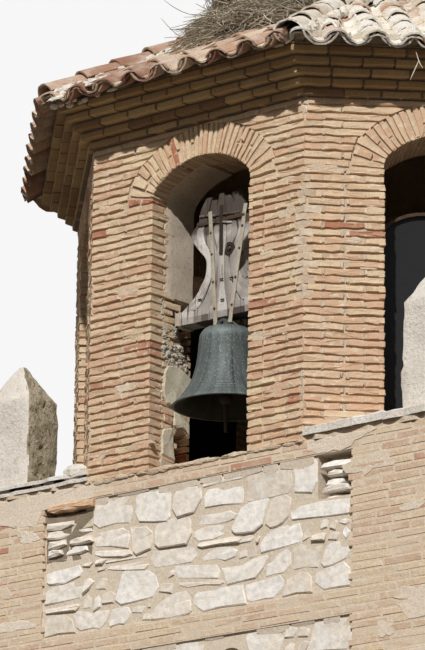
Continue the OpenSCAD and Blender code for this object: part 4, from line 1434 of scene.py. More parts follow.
nest_sticks = Sticks(66)
rng = nest_sticks.rng
steps = np.linspace(-0.5, 0.5, 5)
stick_count = 6000
for n in range(stick_count):
    t = rng.uniform(0.05, 0.93) if n % 4 else rng.uniform(0.0, 0.25)
    radius, z = nest_at(t)
    ahead_r, ahead_z = nest_at(min(t + 0.02, 1.0))
    rise = np.array((ahead_r - radius, ahead_z - z))
    rise /= np.linalg.norm(rise) + 1e-9
    a = rng.uniform(0, 2 * math.pi)
    outward = np.array((math.cos(a), math.sin(a), 0))
    around = np.array((-math.sin(a), math.cos(a), 0))
    climb = outward * rise[0] + np.array((0, 0, rise[1]))
    normal = outward * rise[1] - np.array((0, 0, rise[0]))
    lean = rng.normal(0, 0.42)
    way = around * math.cos(lean) + climb * math.sin(lean) + normal * rng.normal(0.03, 0.13)
    length = rng.uniform(0.22, 0.7)
    centre = np.array((*nest_middle, z)) + outward * radius - normal * rng.uniform(-0.01, 0.05)
    curl = rng.uniform(0.2, 1.0) * length ** 2 / (2 * max(radius, 0.35))
    sway = rng.normal(0, 0.018, 3)
    line = [centre + way * length * s - normal * curl * s * s * 4 * 0.5 + sway * math.sin(5 * s)
            for s in steps]
    nest_sticks.add(line, rng.uniform(0.0022, 0.0052))
place_piece(nest_sticks.mesh("nest_sticks"), weathered(
    "dry_sticks", (118, 108, 95), (184, 172, 152), (232, 224, 207), (160, 149, 131), 0.25,
    grain=0.006, lump=0.02, patch=0.3, bump=0.001))

# %% Straw that has slid down over the tiles of the front
apron_middle, apron_half = np.array((-0.03, 1.58)), np.array((0.54, 0.76))
apron_foot, apron_top, apron_margin = 0.09, 0.30, 1.25


def apron_height(u, v):
    """Height of the slid straw over the front slope."""
    away = np.hypot(*((np.array((u, v)) - apron_middle) / apron_half))
    ragged = 0.16 * noise.noise(Vector((u * 4.0, v * 4.0, 7.0)))
    share = unit((1.15 + ragged - away) * 1.7) ** 0.6
    return apron_foot + (apron_top - apron_foot) * share


def lying_stick(face, u, v, heading, length, bend, heights):
    """Points of a bent stick that lies on a face, at the given heights over it."""
    return [face.at(u + length * s * math.cos(heading),
                    v + length * s * math.sin(heading) + bend * s * s * 4, w) for s,
            w in zip(steps, heights)]


front_slope = slope_face(0)
apron_grid = 26
apron_points = []
for b in range(apron_grid + 1):
    for a in range(apron_grid + 1):
        u = apron_middle[0] + apron_half[0] * apron_margin * (2 * a / apron_grid - 1)
        v = apron_middle[1] + apron_half[1] * apron_margin * (2 * b / apron_grid - 1)
        lump = 0.05 * noise.noise(Vector((u * 9, v * 9, 2.0)))
        tall = apron_height(u, v)
        apron_points.append(tuple(front_slope.at(u, v, tall - 0.07 + (lump if tall > 0.12 else -0.03))))
apron_faces = [(k, k + 1, k + apron_grid + 2, k + apron_grid + 1)
               for b in range(apron_grid)
               for k in range(b * (apron_grid + 1), b * (apron_grid + 1) + apron_grid)]
place_piece(plain_mesh("slid_straw_core", apron_points, apron_faces), straw_core_finish)

slid_straw = Sticks(68)
rng = slid_straw.rng
slid_count = 3000
while len(slid_straw.lines) < slid_count:
    u, v = apron_middle + apron_half * rng.uniform(-apron_margin, apron_margin, 2)
    tall = apron_height(u, v)
    if tall < 0.12:
        continue
    heading = rng.normal(0.0, 0.7)
    length = rng.uniform(0.1, 0.42)
    rise = rng.normal(0.0, 0.25)
    w = tall - abs(rng.normal(0, 0.035)) + 0.01
    bend = rng.normal(0, 0.05)
    heights = np.maximum(w + length * steps * rise - 0.1 * steps * steps, apron_foot)
    slid_straw.add(lying_stick(front_slope, u, v, heading, length, bend, heights),
                   rng.uniform(0.002, 0.0045))
place_piece(slid_straw.mesh("slid_straw"), bpy.data.materials["dry_sticks"])

# %% Sticks that have slid on to the other tiles, and loose pale ones
fallen = Sticks(67)
rng = fallen.rng
fallen_count = 700
for n in range(fallen_count):
    a = rng.uniform(0, 2 * math.pi)
    reach = nest_r * rng.uniform(0.9, 1.05) + abs(rng.normal(0, 0.16))
    place = nest_middle + reach * np.array((math.cos(a), math.sin(a)))
    if max(abs(place)) > 2.6:
        continue
    turn = round(math.atan2(place[0], -place[1]) / (2 * half_turn)) % sides
    face = slope_face(turn)
    outward = side_axes(turn)[1]
    v = (eave_r - place @ outward[:2]) / math.cos(roof_pitch)
    u = place @ side_axes(turn)[0][:2]
    heading = rng.uniform(0, math.pi)
    length = rng.uniform(0.15, 0.5)
    w = rng.uniform(0.11, 0.19)
    bend = rng.normal(0, 0.04)
    tip = abs(rng.normal(0, 0.04))
    line = lying_stick(face, u, v, heading, length, bend, w + tip * steps * steps * 4)
    fallen.add(line, rng.uniform(0.002, 0.0045))
pale_stick_ends = (((-1.399, -1.276, 13.794), (-1.2, -1.063, 13.674), 0.03),
                   ((-1.442, -1.259, 13.655), (-1.314, -1.085, 13.481), 0.02),
                   ((-1.166, -1.069, 13.767), (-1.127, -1.001, 13.6), 0.0),
                   ((-0.915, -0.87, 13.84), (-0.908, -0.853, 13.7), 0.0),
                   ((-1.305, -1.097, 13.5), (-1.161, -1.048, 13.721), 0.02),
                   ((-1.3, -1.064, 13.4), (-1.233, -1.073, 13.628), 0.0),
                   ((1.869, -2.232, 12.36), (1.905, -2.196, 12.24), 0.02),
                   ((1.884, -2.217, 12.3), (1.838, -2.264, 12.143), 0.0),
                   ((1.119, -1.796, 13.03), (1.158, -1.252, 13.21), 0.0),
                   ((1.015, -1.565, 13.15), (1.45, -1.574, 12.98), 0.0),
                   ((1.274, -1.702, 13.0), (1.461, -1.712, 12.93), 0.0))
for start, end, sag in pale_stick_ends:
    start, end = np.array(start), np.array(end)
    line = [start + (end - start) * (s + 0.5) + np.array((0, 0, -sag)) * (1 - 4 * s * s) for s in steps]
    fallen.add(line, 0.004, 1.0)
place_piece(fallen.mesh("fallen_sticks"), bpy.data.materials["dry_sticks"])

# %% [markdown]
# Bells, planks, pinnacles and straps can all be made as a stack of closed outlines joined one to the
# next, like the hoops of a barrel. One helper takes the stack, closes both ends and keeps a tone for
# each body, so cracks between planks are real gaps and not paint.

# %% Helper for bodies made from stacked outlines
class Stacks(Gathered):
    """Closed bodies, each a stack of outlines with as many points."""

    def add(self, outlines, tone=None, ends=True):
        """With ends the first and last outline are closed, without they are joined to a loop."""
        count, levels, start = len(outlines[0]), len(outlines), len(self.verts)
        for outline in outlines:
            self.verts += [tuple(p) for p in outline]
        before = len(self.faces)
        for k in range(levels - 1 if ends else levels):
            low, high = start + k * count, start + ((k + 1) % levels) * count
            self.faces += [(low + n, low + (n + 1) % count, high + (n + 1) % count, high + n)
                           for n in range(count)]
        if ends:
            self.faces.append(tuple(range(start, start + count))[::-1])
            self.faces.append(tuple(range(start + (levels - 1) * count, start + levels * count)))
        self.shade(tone, len(self.faces) - before)


def bar(stack, start, end, wide, thick, width_way, tone=None, steps=2, wave=0.0, soft=0.15):
    """A flat bar from start to end; width_way says which way its width lies."""
    start, end = np.array(start, float), np.array(end, float)
    way = (end - start) / np.linalg.norm(end - start)
    side = np.array(width_way, float)
    side = side - way * (side @ way)
    side /= np.linalg.norm(side)
    flat = np.cross(way, side)
    corners = [(-1, -1), (1, -1), (1, 1), (-1, 1)]
    outlines = []
    for k in range(steps):
        share = k / (steps - 1)
        middle = start + (end - start) * share
        middle = middle + side * stack.rng.normal(0, wave) + flat * stack.rng.normal(0, wave)
        ring = []
        for n, (a, b) in enumerate(corners):
            c, d = corners[(n + 1) % 4]
            for t in (soft, 1 - soft):
                ring.append(middle + side * (a + (c - a) * t) * wide / 2
                            + flat * (b + (d - b) * t) * thick / 2)
        outlines.append(ring)
    stack.add(outlines, tone)


def stud(stack, x, y, z, side, steps, around=8, tone=None):
    """A round head on a face that looks along Y to one side; steps are its heights and radii."""
    turns = np.linspace(0, 2 * math.pi, around + 1)[:-1] * -side
    stack.add([[(x + r * math.cos(a), y + side * d, z + r * math.sin(a)) for a in turns]
               for d, r in steps], tone)


print("helper ready:", Stacks.__name__)

# %% [markdown]
# Square pinnacles of rubble under thick lime render stand on the four corners. The render has gone
# soft at the arrises and is pitted. On the front left one the side facing +X is darker: lichen, and
# in part painted shade. Each is a stack of rounded squares pushed about by noise.

# %% Pinnacles
lime_worn_finish = weathered("worn_lime", (208, 199, 187), (231, 225, 217), (240, 236, 230),
                             (212, 202, 188), 0.45, grain=0.008, lump=0.03, patch=0.22, bump=0.011,
                             fleck=(186, 174, 156), fleck_size=0.035, fleck_share=0.45)
# Lichen stains on a lime darkened further as painted shade.
lichen_and_shade_finish = weathered("lichen_and_painted_shade_lime", (168, 158, 138), (198, 186, 162), (224, 214, 196),
                          (126, 116, 92), 0.7, grain=0.008, lump=0.03, patch=0.08, bump=0.016,
                          fleck=(98, 88, 68), fleck_size=0.03, fleck_share=0.7)


def rounded_square(half_x, half_y, radius, per_side=7):
    points = []
    for sx, sy, first, end in (
            (1, -1, -90, (half_x, half_y - radius)), (1, 1, 0, (radius - half_x, half_y)),
            (-1, 1, 90, (-half_x, radius - half_y)), (-1, -1, 180, (half_x - radius, -half_y))):
        cx, cy = sx * (half_x - radius), sy * (half_y - radius)
        for k in range(3):
            a = math.radians(first + 45 * k)
            points.append((cx + radius * math.cos(a), cy + radius * math.sin(a)))
        last = points[-1]
        points += [(last[0] + (end[0] - last[0]) * k / per_side,
                    last[1] + (end[1] - last[1]) * k / per_side)
                   for k in range(1, per_side)]
    return points


pinnacle_top = 0.30
for name in ("front_left", "front_right", "back_right", "back_left"):
    low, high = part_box("pinnacle_" + name)
    middle = (low + high) / 2
    half_x, half_y = (high.x - low.x) / 2, (high.y - low.y) / 2
    stack = Stacks(70)
    neck = high.z - pinnacle_top
    outlines = []
    heights = list(np.linspace(low.z - 0.02, neck, 19)) + list(np.linspace(neck, high.z, 9))[1:]
    for z in heights:
        shrink = 1.0 if z <= neck else 1 - 0.9 * (z - neck) / pinnacle_top
        ring = []
        for x, y in rounded_square(half_x * shrink, half_y * shrink, 0.014 * shrink):
            place = Vector((middle.x + x, middle.y + y, z))
            push = noise.noise(place * 3.5) * 0.02 + noise.noise(place * 13) * 0.009
            pit = max(0.0, noise.noise(place * 22 + Vector((5, 1, 2))) - 0.32) * 0.09
            scale = 1 + (push - pit) / max(math.hypot(x, y), 0.05) * min(shrink + 0.2, 1)
            ring.append((middle.x + x * scale, middle.y + y * scale, z + noise.noise(place * 5) * 0.006))
        outlines.append(ring)
    stack.add(outlines)
    mesh = stack.mesh("pinnacle_" + name + "_render", sharp=40)
    piece = place_piece(mesh, lime_worn_finish, stands_for=["pinnacle_" + name])
    # The side facing +X of the front left pinnacle takes the darker finish: lichen, and painted shade.
    piece.data.materials.append(lichen_and_shade_finish)
    for polygon in mesh.polygons:
        polygon.material_index = 1 if polygon.normal.x > 0.5 and name == "front_left" else 0

# %% [markdown]
# The corner ledges are capped with broken slabs on a bed of lime mortar. A cap is two thin layers of
# a few slabs each, with open joints, over a bed that stands back in the shade. The right-hand one is
# one thick layer under limewash. Lumps of mortar lie along the belfry's foot.

# %% Copings on the four corners
bed_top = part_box("corner_copings")[0].z + 0.065
cap_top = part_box("corner_copings")[1].z
slab_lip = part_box("corner_copings")[1].x - shaft_half
slabs, beds = Blocks(72, bevel=0.01, wear=0.004), Blocks(73, bevel=0.012, wear=0.006)


def fine_outline(rng, polygon, step=0.09, wear=0.007):
    points = []
    for k, here in enumerate(polygon):
        after = polygon[(k + 1) % len(polygon)]
        pieces = max(1, int(np.linalg.norm(after - here) / step))
        for n in range(pieces):
            point = here + (after - here) * n / pieces
            points.append(point + (rng.normal(0, wear, 2) if n else 0))
    return points


for q in range(4):
    reach, cut = shaft_half + slab_lip, corner_u
    corner = [np.array(p) for p in ((cut + 0.01, -reach), (reach, -reach), (reach, -cut - 0.01),
                                    (shaft_half, -cut), (cut, -shaft_half))]
    rng = slabs.rng
    limed = q == 0
    for low in (0.0,) if limed else (0.0, 0.05):
        breaks = [cut + 0.02, cut + rng.uniform(0.3, 0.5), cut + rng.uniform(0.75, 0.95), reach + 0.02]
        for k in range(3):
            slant = rng.normal(0, 0.05, 2)
            piece = clip(corner, np.array((-1.0, slant[0])), -(breaks[k] - 0.006) - slant[0] * reach)
            piece = clip(piece, np.array((1.0, slant[1])), breaks[k + 1] - 0.006 - slant[1] * reach)
            if len(piece) < 3:
                continue
            piece = [p * (1 - low * rng.uniform(0.05, 0.35)) for p in piece]
            ground = level_face(cap_top - low + rng.uniform(-0.008, 0.0), q)
            slabs.lay(ground, fine_outline(rng, piece), 0.0, 0.065 if limed else 0.03,
                      rng.uniform(0.4, 1.0), halves=False, bevel=0.014 if limed else 0.008,
                      lean=rng.normal(0, 0.006, 2))
    bed = [p - p * 0.012 for p in corner]
    ground = level_face(bed_top + (0.006 if limed else -0.03), q)
    beds.lay(ground, fine_outline(rng, bed, 0.07, 0.012), 0.0, 0.075 if limed else 0.04,
             rng.uniform(0.2, 0.6), halves=False)
place_piece(slabs.mesh("coping_slabs"), lime_worn_finish, stands_for=["corner_copings"])
place_piece(beds.mesh("coping_beds"), mortar_finish)
stubs = Lumps(74)
ledge = level_face(bed_top)
stubs.put(ledge, -1.2, -2.44, 0.05, (0.12, 0.06, 0.075), 0.5)
for u, v, size in ((-1.45, -2.44, 0.04), (-1.6, -2.43, 0.035), (-1.9, -2.45, 0.04), (-2.3, -2.43, 0.035),
                   (-2.1, -2.45, 0.03), (1.2, -2.45, 0.04), (1.6, -2.46, 0.035), (2.1, -2.45, 0.04)):
    stubs.put(ledge, u, v, 0.0, (size * 1.6, size * 0.6, size), None)
place_piece(stubs.mesh("coping_lumps"), lime_worn_finish)
foot = Lumps(75)
rng = foot.rng
for i in range(sides):
    u = -corner_u
    while u < corner_u:
        size = rng.uniform(0.012, 0.04)
        half_lengths = (size * 2.6, size * 0.7, rng.uniform(0.008, 0.018))
        foot.put(side_face(i), u, sill_z + size * 0.1, 0.004, half_lengths)
        u += rng.uniform(0.03, 0.12)
place_piece(foot.mesh("foot_mortar"), mortar_finish)

# %% [markdown]
# The left reveal of the bell's opening was plastered from a hand's breadth in. Half of the plaster is
# left. It runs up the jamb and over on to the soffit in one sheet, so it is swept along the same
# three-arc line as the arch, with a ragged outer edge. Below, the wall behind it shows: rough masonry
# round the bearing, a smooth pale patch, a broken brick and the rim of a little niche.

# %% Plaster in the bell's opening
plaster_finish = weathered("old_plaster", (200, 186, 168), (215, 201, 184), (230, 222, 198),
                           (182, 166, 146), 0.5, grain=0.008, lump=0.12, patch=0.3, bump=0.005,
                           fleck=(150, 134, 114), fleck_size=0.03, fleck_share=0.35)
plaster = Stacks(75)
jamb_line = [(left_jamb, z, 0.0) for z in np.linspace(sill_z + 1.40, spring_z, 26)]
soffit_share = 0.42
for s in np.linspace(arch_length, arch_length * (1 - soffit_share), 22)[1:]:
    u, z, t = on_arch(s)
    jamb_line.append((u, z, t))
wall_depth = flat_r - inner_r
plaster_thick = 0.016
outlines = []
for k, (u, z, t) in enumerate(jamb_line):
    inward = np.array((1.0, 0.0)) if t == 0 else np.array((-math.cos(t), -math.sin(t)))
    edge = plaster_start + 0.006 + 0.02 * noise.noise(Vector((3.1, z * 6, u * 4)))
    ring = []
    inner_end = wall_depth + 0.004
    for d in np.linspace(edge, inner_end, 10):
        lift = plaster_thick + 0.008 * noise.noise(Vector((d * 7, z * 5, u * 5)))
        lift *= 0.35 if d == edge else 1.0
        point = np.array((u, z)) + inward * lift
        ring.append((point[0], -flat_r + d, point[1]))
    for d in (inner_end, edge):
        point = np.array((u, z)) - inward * 0.01
        ring.append((point[0], -flat_r + d, point[1]))
    outlines.append(ring)
plaster.add(outlines, 0.45)
place_piece(plaster.mesh("reveal_plaster", sharp=60), plaster_finish)

left_reveal = reveal_face(0, left_jamb, 1)
patches = Blocks(76, bevel=0.01, wear=0.004)
for outline, thick, tone in (
        ([(0.15, 0.62), (0.14, 0.80), (0.19, 0.865), (0.28, 0.885), (0.37, 0.86), (0.46, 0.82),
          (0.46, 0.66), (0.38, 0.60), (0.26, 0.555), (0.19, 0.57)], 0.02, 0.95),
        ([(0.265, 0.53), (0.33, 0.52), (0.46, 0.455), (0.46, 0.36), (0.43, 0.40), (0.37, 0.422),
          (0.31, 0.405), (0.275, 0.42)], 0.018, 0.9),
        ([(0.13, 0.16), (0.12, 0.30), (0.15, 0.37), (0.25, 0.385), (0.27, 0.34), (0.272, 0.22),
          (0.28, 0.14)],
         0.02, 0.75),
        ([(0.11, 0.01), (0.12, 0.13), (0.28, 0.12), (0.46, 0.125), (0.46, 0.01)], 0.012, 0.3)):
    rng = patches.rng
    shape = [np.array((d, sill_z + h)) for d, h in outline]
    patches.lay(left_reveal, fine_outline(rng, shape, 0.06, 0.005), thick, 0.02, tone, halves=False)
place_piece(patches.mesh("reveal_patches"), plaster_finish)

rough_masonry = Lumps(77)
rng = rough_masonry.rng
masonry_count, edge_count = 150, 46
for n in range(masonry_count):
    d, h = rng.uniform(0.14, 0.46), rng.uniform(0.86, 1.21)
    worn_edge = 1.16 - (d - 0.30) * 1.94 if d > 0.3 else 1.21 - (d - 0.165) * 0.3
    if h < worn_edge - 0.01:
        size = rng.uniform(0.014, 0.036)
        rough_masonry.put(left_reveal, d, sill_z + h, 0.0, (size, size * 0.7, size * 0.6))
for n in range(edge_count):
    h = rng.uniform(0.0, 1.42)
    d = rng.uniform(0.125, 0.16)
    size = rng.uniform(0.01, 0.02)
    rough_masonry.put(left_reveal, d, sill_z + h, 0.0, (size, size, size * 0.6), 0.8)
place_piece(rough_masonry.mesh("reveal_masonry"), weathered(
    "rough_masonry", (176, 166, 148), (204, 195, 178), (224, 216, 202), (160, 148, 130), 0.4,
    lump=0.02, patch=0.08, bump=0.012))
broken_brick = Blocks(78, bevel=0.008)
broken_brick.lay(left_reveal, [(0.15, sill_z + 0.42), (0.25, sill_z + 0.41), (0.25, sill_z + 0.475),
                               (0.15, sill_z + 0.48)], 0.018, 0.03, 0.2)
place_piece(broken_brick.mesh("reveal_brick"), brick_finish)

# %% [markdown]
# The bell is bronze under a grey-green patina with pale verdigris along its ridges. Its outline is the
# solid's own curve, turned in fine steps with raised bands over the lip and under the shoulder and a
# rounded rim on the head. Its tone runs down in streaks, and its dark inside has a finish of its own.

# %% Bell
bell_low, bell_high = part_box("bell_shell")
mouth_r = (bell_high.x - bell_low.x) / 2
bell_tall = bell_high.z - bell_low.z
shoulder_r, waist_t, bow_t, swell, flare = 0.205, 0.034, 0.058, 0.014, 3.2
rise = bell_tall * 0.86
round_r = shoulder_r * 0.55
band_list = ((0.083, 0.005, 0.006), (0.103, 0.004, 0.005), (0.128, 0.004, 0.005), (0.455, 0.004, 0.006),
             (0.478, 0.003, 0.005))


def bell_radius(height):
    t = height / rise
    band = sum(tall * math.exp(-((height - at) / wide) ** 2) for at, tall, wide in band_list)
    return shoulder_r + (mouth_r - shoulder_r) * (1 - t) ** flare + swell * math.sin(math.pi * t) + band


profile = [(0.004, bell_tall)]
for a in np.linspace(80, 0, 12):
    lip = 0.005 * math.exp(-((a - 48) / 7) ** 2)
    profile.append((shoulder_r - round_r + (round_r + lip) * math.cos(math.radians(a)),
                    rise + (bell_tall - rise + lip) * math.sin(math.radians(a))))
outer_heights = np.concatenate([np.linspace(rise, 0.14, 40)[1:], np.linspace(0.136, 0.008, 34)])
profile += [(bell_radius(h), h) for h in outer_heights]
profile += [(mouth_r - 0.004, 0.003), (mouth_r - 0.012, 0.0), (mouth_r - 0.024, 0.001)]
for h in np.linspace(0.03, rise, 16):
    t = h / rise
    thick = waist_t + (bow_t - waist_t) * math.exp(-((t - 0.10) / 0.12) ** 2)
    profile.append((bell_radius(h) - thick, h))
for a in np.linspace(15, 85, 5):
    profile.append((shoulder_r - round_r + (round_r - waist_t) * math.cos(math.radians(a)),
                    rise + (bell_tall - rise - waist_t) * math.sin(math.radians(a))))
profile.append((0.004, bell_tall - waist_t))
bell = Stacks(80)
around = 96
bell_middle = ((bell_low.x + bell_high.x) / 2, (bell_low.y + bell_high.y) / 2)
bell.add([[(bell_middle[0] + r * math.cos(2 * math.pi * n / around),
            bell_middle[1] + r * math.sin(2 * math.pi * n / around), bell_low.z + h) for n in range(around)]
          for r, h in profile[::-1]], 0.5)
bronze_finish = weathered("bronze_patina", (52, 56, 56), (80, 87, 89), (116, 125, 124),
                          (100, 108, 104), 0.4, grain=0.006, lump=0.03, patch=0.12, bump=0.0015,
                          roughness=0.6, metallic=0.2, fleck=(150, 160, 152), fleck_size=0.012,
                          fleck_share=0.45)
bell_inside_finish = weathered("bell_inside", (26, 23, 17), (34, 31, 24), (44, 40, 32), (22, 20, 15),
                               bump=0.002, roughness=0.8)
bell_mesh = bell.mesh("bell_body", sharp=50)
for polygon, tone in zip(bell_mesh.polygons, bell_mesh.attributes["tone"].data):
    out_way = Vector((polygon.center.x - bell_middle[0], polygon.center.y - bell_middle[1], 0.0))
    height, turn = polygon.center.z - bell_low.z, math.atan2(out_way.y, out_way.x)
    streak = noise.noise((turn * 6, height * 1.5, 0.0))
    streak += 0.7 * noise.noise((turn * 20, height * 3.0, 5.0))
    edge = math.exp(-((height - rise - 0.02) / 0.035) ** 2) + 0.5 * math.exp(-(height / 0.03) ** 2)
    tone.value = unit(0.45 + 0.5 * streak + 0.55 * edge)
    polygon.material_index = int(polygon.normal.dot(out_way.normalized()) < -0.15
                                 or polygon.normal.z < -0.9 and height > 0.01)
inside_faces = [polygon.material_index for polygon in bell_mesh.polygons]
place_piece(bell_mesh, bronze_finish, "bell", stands_for=["bell_shell"])
bell_mesh.materials.append(bell_inside_finish)
bell_mesh.polygons.foreach_set("material_index", inside_faces)

# %% [markdown]
# The yoke is built up from upright timbers, silver with age and open at the joints. Each timber is one
# body between two lines that share out the yoke's width, so the outer ones follow its silhouette and
# the gaps between them are real. The grain is a shader effect: noise drawn out along the timber, kept
# as a group because the door has it as well.

# %% Timber finish
grain_group, grain_in, grain_out = new_group(
    "timber_grain", [("Along", 2.0), ("Across", 60.0)], [],
    [("Grain", "NodeSocketFloat"), ("Crack", "NodeSocketFloat")])
grain_place = grain_group.nodes.new("ShaderNodeTexCoord").outputs["Object"]
grain_scale = grain_group.nodes.new("ShaderNodeCombineXYZ")
for socket, source in zip(grain_scale.inputs, (1, 1, 0)):
    grain_group.links.new(grain_in.outputs[source], socket)
grain_stretch = grain_group.nodes.new("ShaderNodeVectorMath")
grain_stretch.operation = "MULTIPLY"
grain_group.links.new(grain_place, grain_stretch.inputs[0])
grain_group.links.new(grain_scale.outputs[0], grain_stretch.inputs[1])
grain_noise = noise_node(grain_group, grain_stretch.outputs[0], 1.0, 5, 0.65)
grain_group.links.new(grain_noise, grain_out.inputs["Grain"])
grain_group.links.new(step_between(grain_group, grain_noise, 0.42, 0.34), grain_out.inputs["Crack"])


def timber(name, dark, middle, light, crack, along=2.5, across=55.0):
    """Weathered timber: tones and stains as elsewhere, with grain and cracks along Z."""
    material = weathered(name, dark, middle, light, dark, 0.25, grain=0.01, lump=0.04, patch=0.2)
    tree = material.node_tree
    shader = tree.nodes["Principled BSDF"]
    grain = place_group(tree, grain_group, Along=along, Across=across)
    before = shader.inputs["Base Color"].links[0].from_socket
    share = math_node(tree, "MULTIPLY", grain.outputs["Crack"], 0.85)
    tree.links.new(mix_colour(tree, share, before, srgb(*crack)), shader.inputs["Base Color"])
    bump_node = shader.inputs["Normal"].links[0].from_node
    bump_node.inputs["Distance"].default_value = 0.008
    tree.links.new(grain.outputs["Grain"], bump_node.inputs["Height"])
    return material


# The dark tone also serves as painted shade on the yoke's top and under its arms.
silver_timber = timber("silver_timber", (84, 76, 70), (170, 163, 157), (220, 216, 211),
                       (58, 49, 43), along=1.8, across=34.0)
print("timber groups", grain_group.name)

# %% Yoke timbers
yoke_low_z, yoke_high_z = (c.z - axle.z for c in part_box("yoke"))
yoke_half_w = (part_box("yoke")[1].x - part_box("yoke")[0].x) / 2
yoke_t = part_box("yoke")[1].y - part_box("yoke")[0].y
arm_flat, arm_r = 0.055, 0.050
waist_w, knee_w, neck_w = 0.150, 0.305, 0.225
waist_z, knee_z, neck_z, crest_z = 0.380, 0.645, 0.745, yoke_high_z


def yoke_half(z):
    """Half width of the yoke at height z over the axle."""
    if z <= arm_r:
        return yoke_half_w
    if z < waist_z:
        return waist_w + (yoke_half_w - arm_flat - waist_w) * (1 - (z - arm_r) / (waist_z - arm_r)) ** 2.1
    if z < neck_z:
        low, high, w0, w1 = waist_z, knee_z, waist_w, knee_w
        if z >= knee_z:
            low, high, w0, w1 = knee_z, neck_z, knee_w, neck_w
        return w0 + (w1 - w0) * (1 - math.cos(math.pi * (z - low) / (high - low))) / 2
    return neck_w * math.sqrt(1 - 0.6 * ((z - neck_z) / (crest_z - neck_z)) ** 2)


timbers = Stacks(81)
rng = timbers.rng
shares = [-1.0, -0.6, -0.27, 0.13, 0.5, 1.0]
crack_half, soft = 0.0035, 0.006
heights = np.concatenate([[yoke_low_z, 0.0, arm_r - 0.001], np.linspace(arm_r + 0.001, crest_z, 64)])
for k in range(5):
    outlines = []
    thick = yoke_t / 2 - rng.uniform(0.0, 0.007)
    top = crest_z - (rng.uniform(0.0, 0.05) if k != 2 else 0.0)
    for z in heights[heights <= top + 0.001]:
        half = yoke_half(z)
        left = half * shares[k] + (crack_half if k else 0.0)
        right = half * shares[k + 1] - (crack_half if k < 4 else 0.0)
        ring = []
        for x, y in ((left + soft, -thick), ((left + right) / 2, -thick - 0.002), (right - soft, -thick),
                     (right, -thick + soft), (right, thick - soft), (right - soft, thick),
                     ((left + right) / 2, thick + 0.002), (left + soft, thick), (left, thick - soft),
                     (left, -thick + soft)):
            rough = noise.noise(Vector((x * 18, y * 8 + k, z * 9))) * 0.005
            ring.append((axle.x + x + rough, axle.y + y + rough, axle.z + z))
        outlines.append(ring)
    timbers.add(outlines, (0.75, 0.45, 0.6, 0.35, 0.5)[k])
for z, x0, x1, slope in ((0.752, -0.21, 0.18, -0.035), (0.692, -0.115, 0.10, -0.04)):
    for side in (-1, 1):
        bar(timbers, (axle.x + x0, axle.y + side * (yoke_t / 2 + 0.004), axle.z + z - slope / 2),
            (axle.x + x1, axle.y + side * (yoke_t / 2 + 0.002), axle.z + z + slope / 2), 0.015, 0.012,
            (0, 0, 1), 0.9, steps=6, wave=0.002)
yoke_mesh = timbers.mesh("yoke_timbers", sharp=40)
# Painted shade: the tone goes towards the dark colour over the top of the yoke, which lies in the arch's
# shade, and under the arms.
for polygon, tone in zip(yoke_mesh.polygons, yoke_mesh.attributes["tone"].data):
    x, z = polygon.center.x - axle.x, polygon.center.z - axle.z
    shade = 0.85 * unit((z - 0.60) / 0.12) + 0.3 * (z < 0.02)
    tone.value = unit(tone.value + 0.05 - shade + 0.6 * noise.noise((x * 14, z * 4, 3.0)))
place_piece(yoke_mesh, silver_timber, "bell", stands_for=["yoke"])
# A near-black core inside the timbers shows through the gaps between them: painted shade in the gaps.
yoke_core = Stacks(82)
yoke_core.add([[(axle.x + x * (yoke_half(z) - 0.02), axle.y + y * (yoke_t / 2 - 0.02), axle.z + z)
                for x, y in ((-1, -1), (1, -1), (1, 1), (-1, 1))]
               for z in np.linspace(-0.03, crest_z - 0.07, 40)])
crack_shade_timber = timber("painted_shade_in_the_cracks", (40, 34, 30), (52, 45, 40), (64, 56, 50), (24, 20, 18))
place_piece(yoke_core.mesh("yoke_core"), crack_shade_timber, "bell")

# %% [markdown]
# Flat iron straps run down both faces of the yoke and hook the bell up by its crown. They are pale
# with lime and rust. The bolt through the middle has bled rust round its hole, and nails hold
# everything else.

# %% Straps, band, ferrules, bolts and nails
strap_finish = weathered("limed_iron", (150, 142, 124), (190, 184, 168), (206, 202, 190),
                         (150, 128, 100), 0.5, grain=0.006, lump=0.03, patch=0.1, bump=0.002,
                         roughness=0.75, metallic=0.1)
rust_finish = weathered("rusty_iron", (58, 46, 38), (84, 66, 52), (108, 86, 68), (48, 40, 34), 0.5,
                        grain=0.006, lump=0.02, patch=0.08, bump=0.002, roughness=0.8, metallic=0.2)
straps, bolts = Stacks(83), Stacks(84)
strap_w, strap_t = 0.034, 0.009
band_z, strap_top, strap_foot = 0.735, 0.79, -0.11
ferrule_w, ferrule_middle = 0.046, 0.023
nail_heads = ((-0.09, 0.473), (0.01, 0.242), (0.107, 0.235), (0.24, 0.44), (0.27, 0.21), (-0.2, 0.12),
              (0.02, 0.08))


def yoke_bar(stack, x, y, z, *shape, **more):
    """A bar with both ends measured from the axle: each of x, y and z is one value or a pair."""
    ends = [[axle[k] + (pair[end] if isinstance(pair, tuple) else pair) for k, pair in enumerate((x, y, z))]
            for end in (0, 1)]
    bar(stack, *ends, *shape, **more)


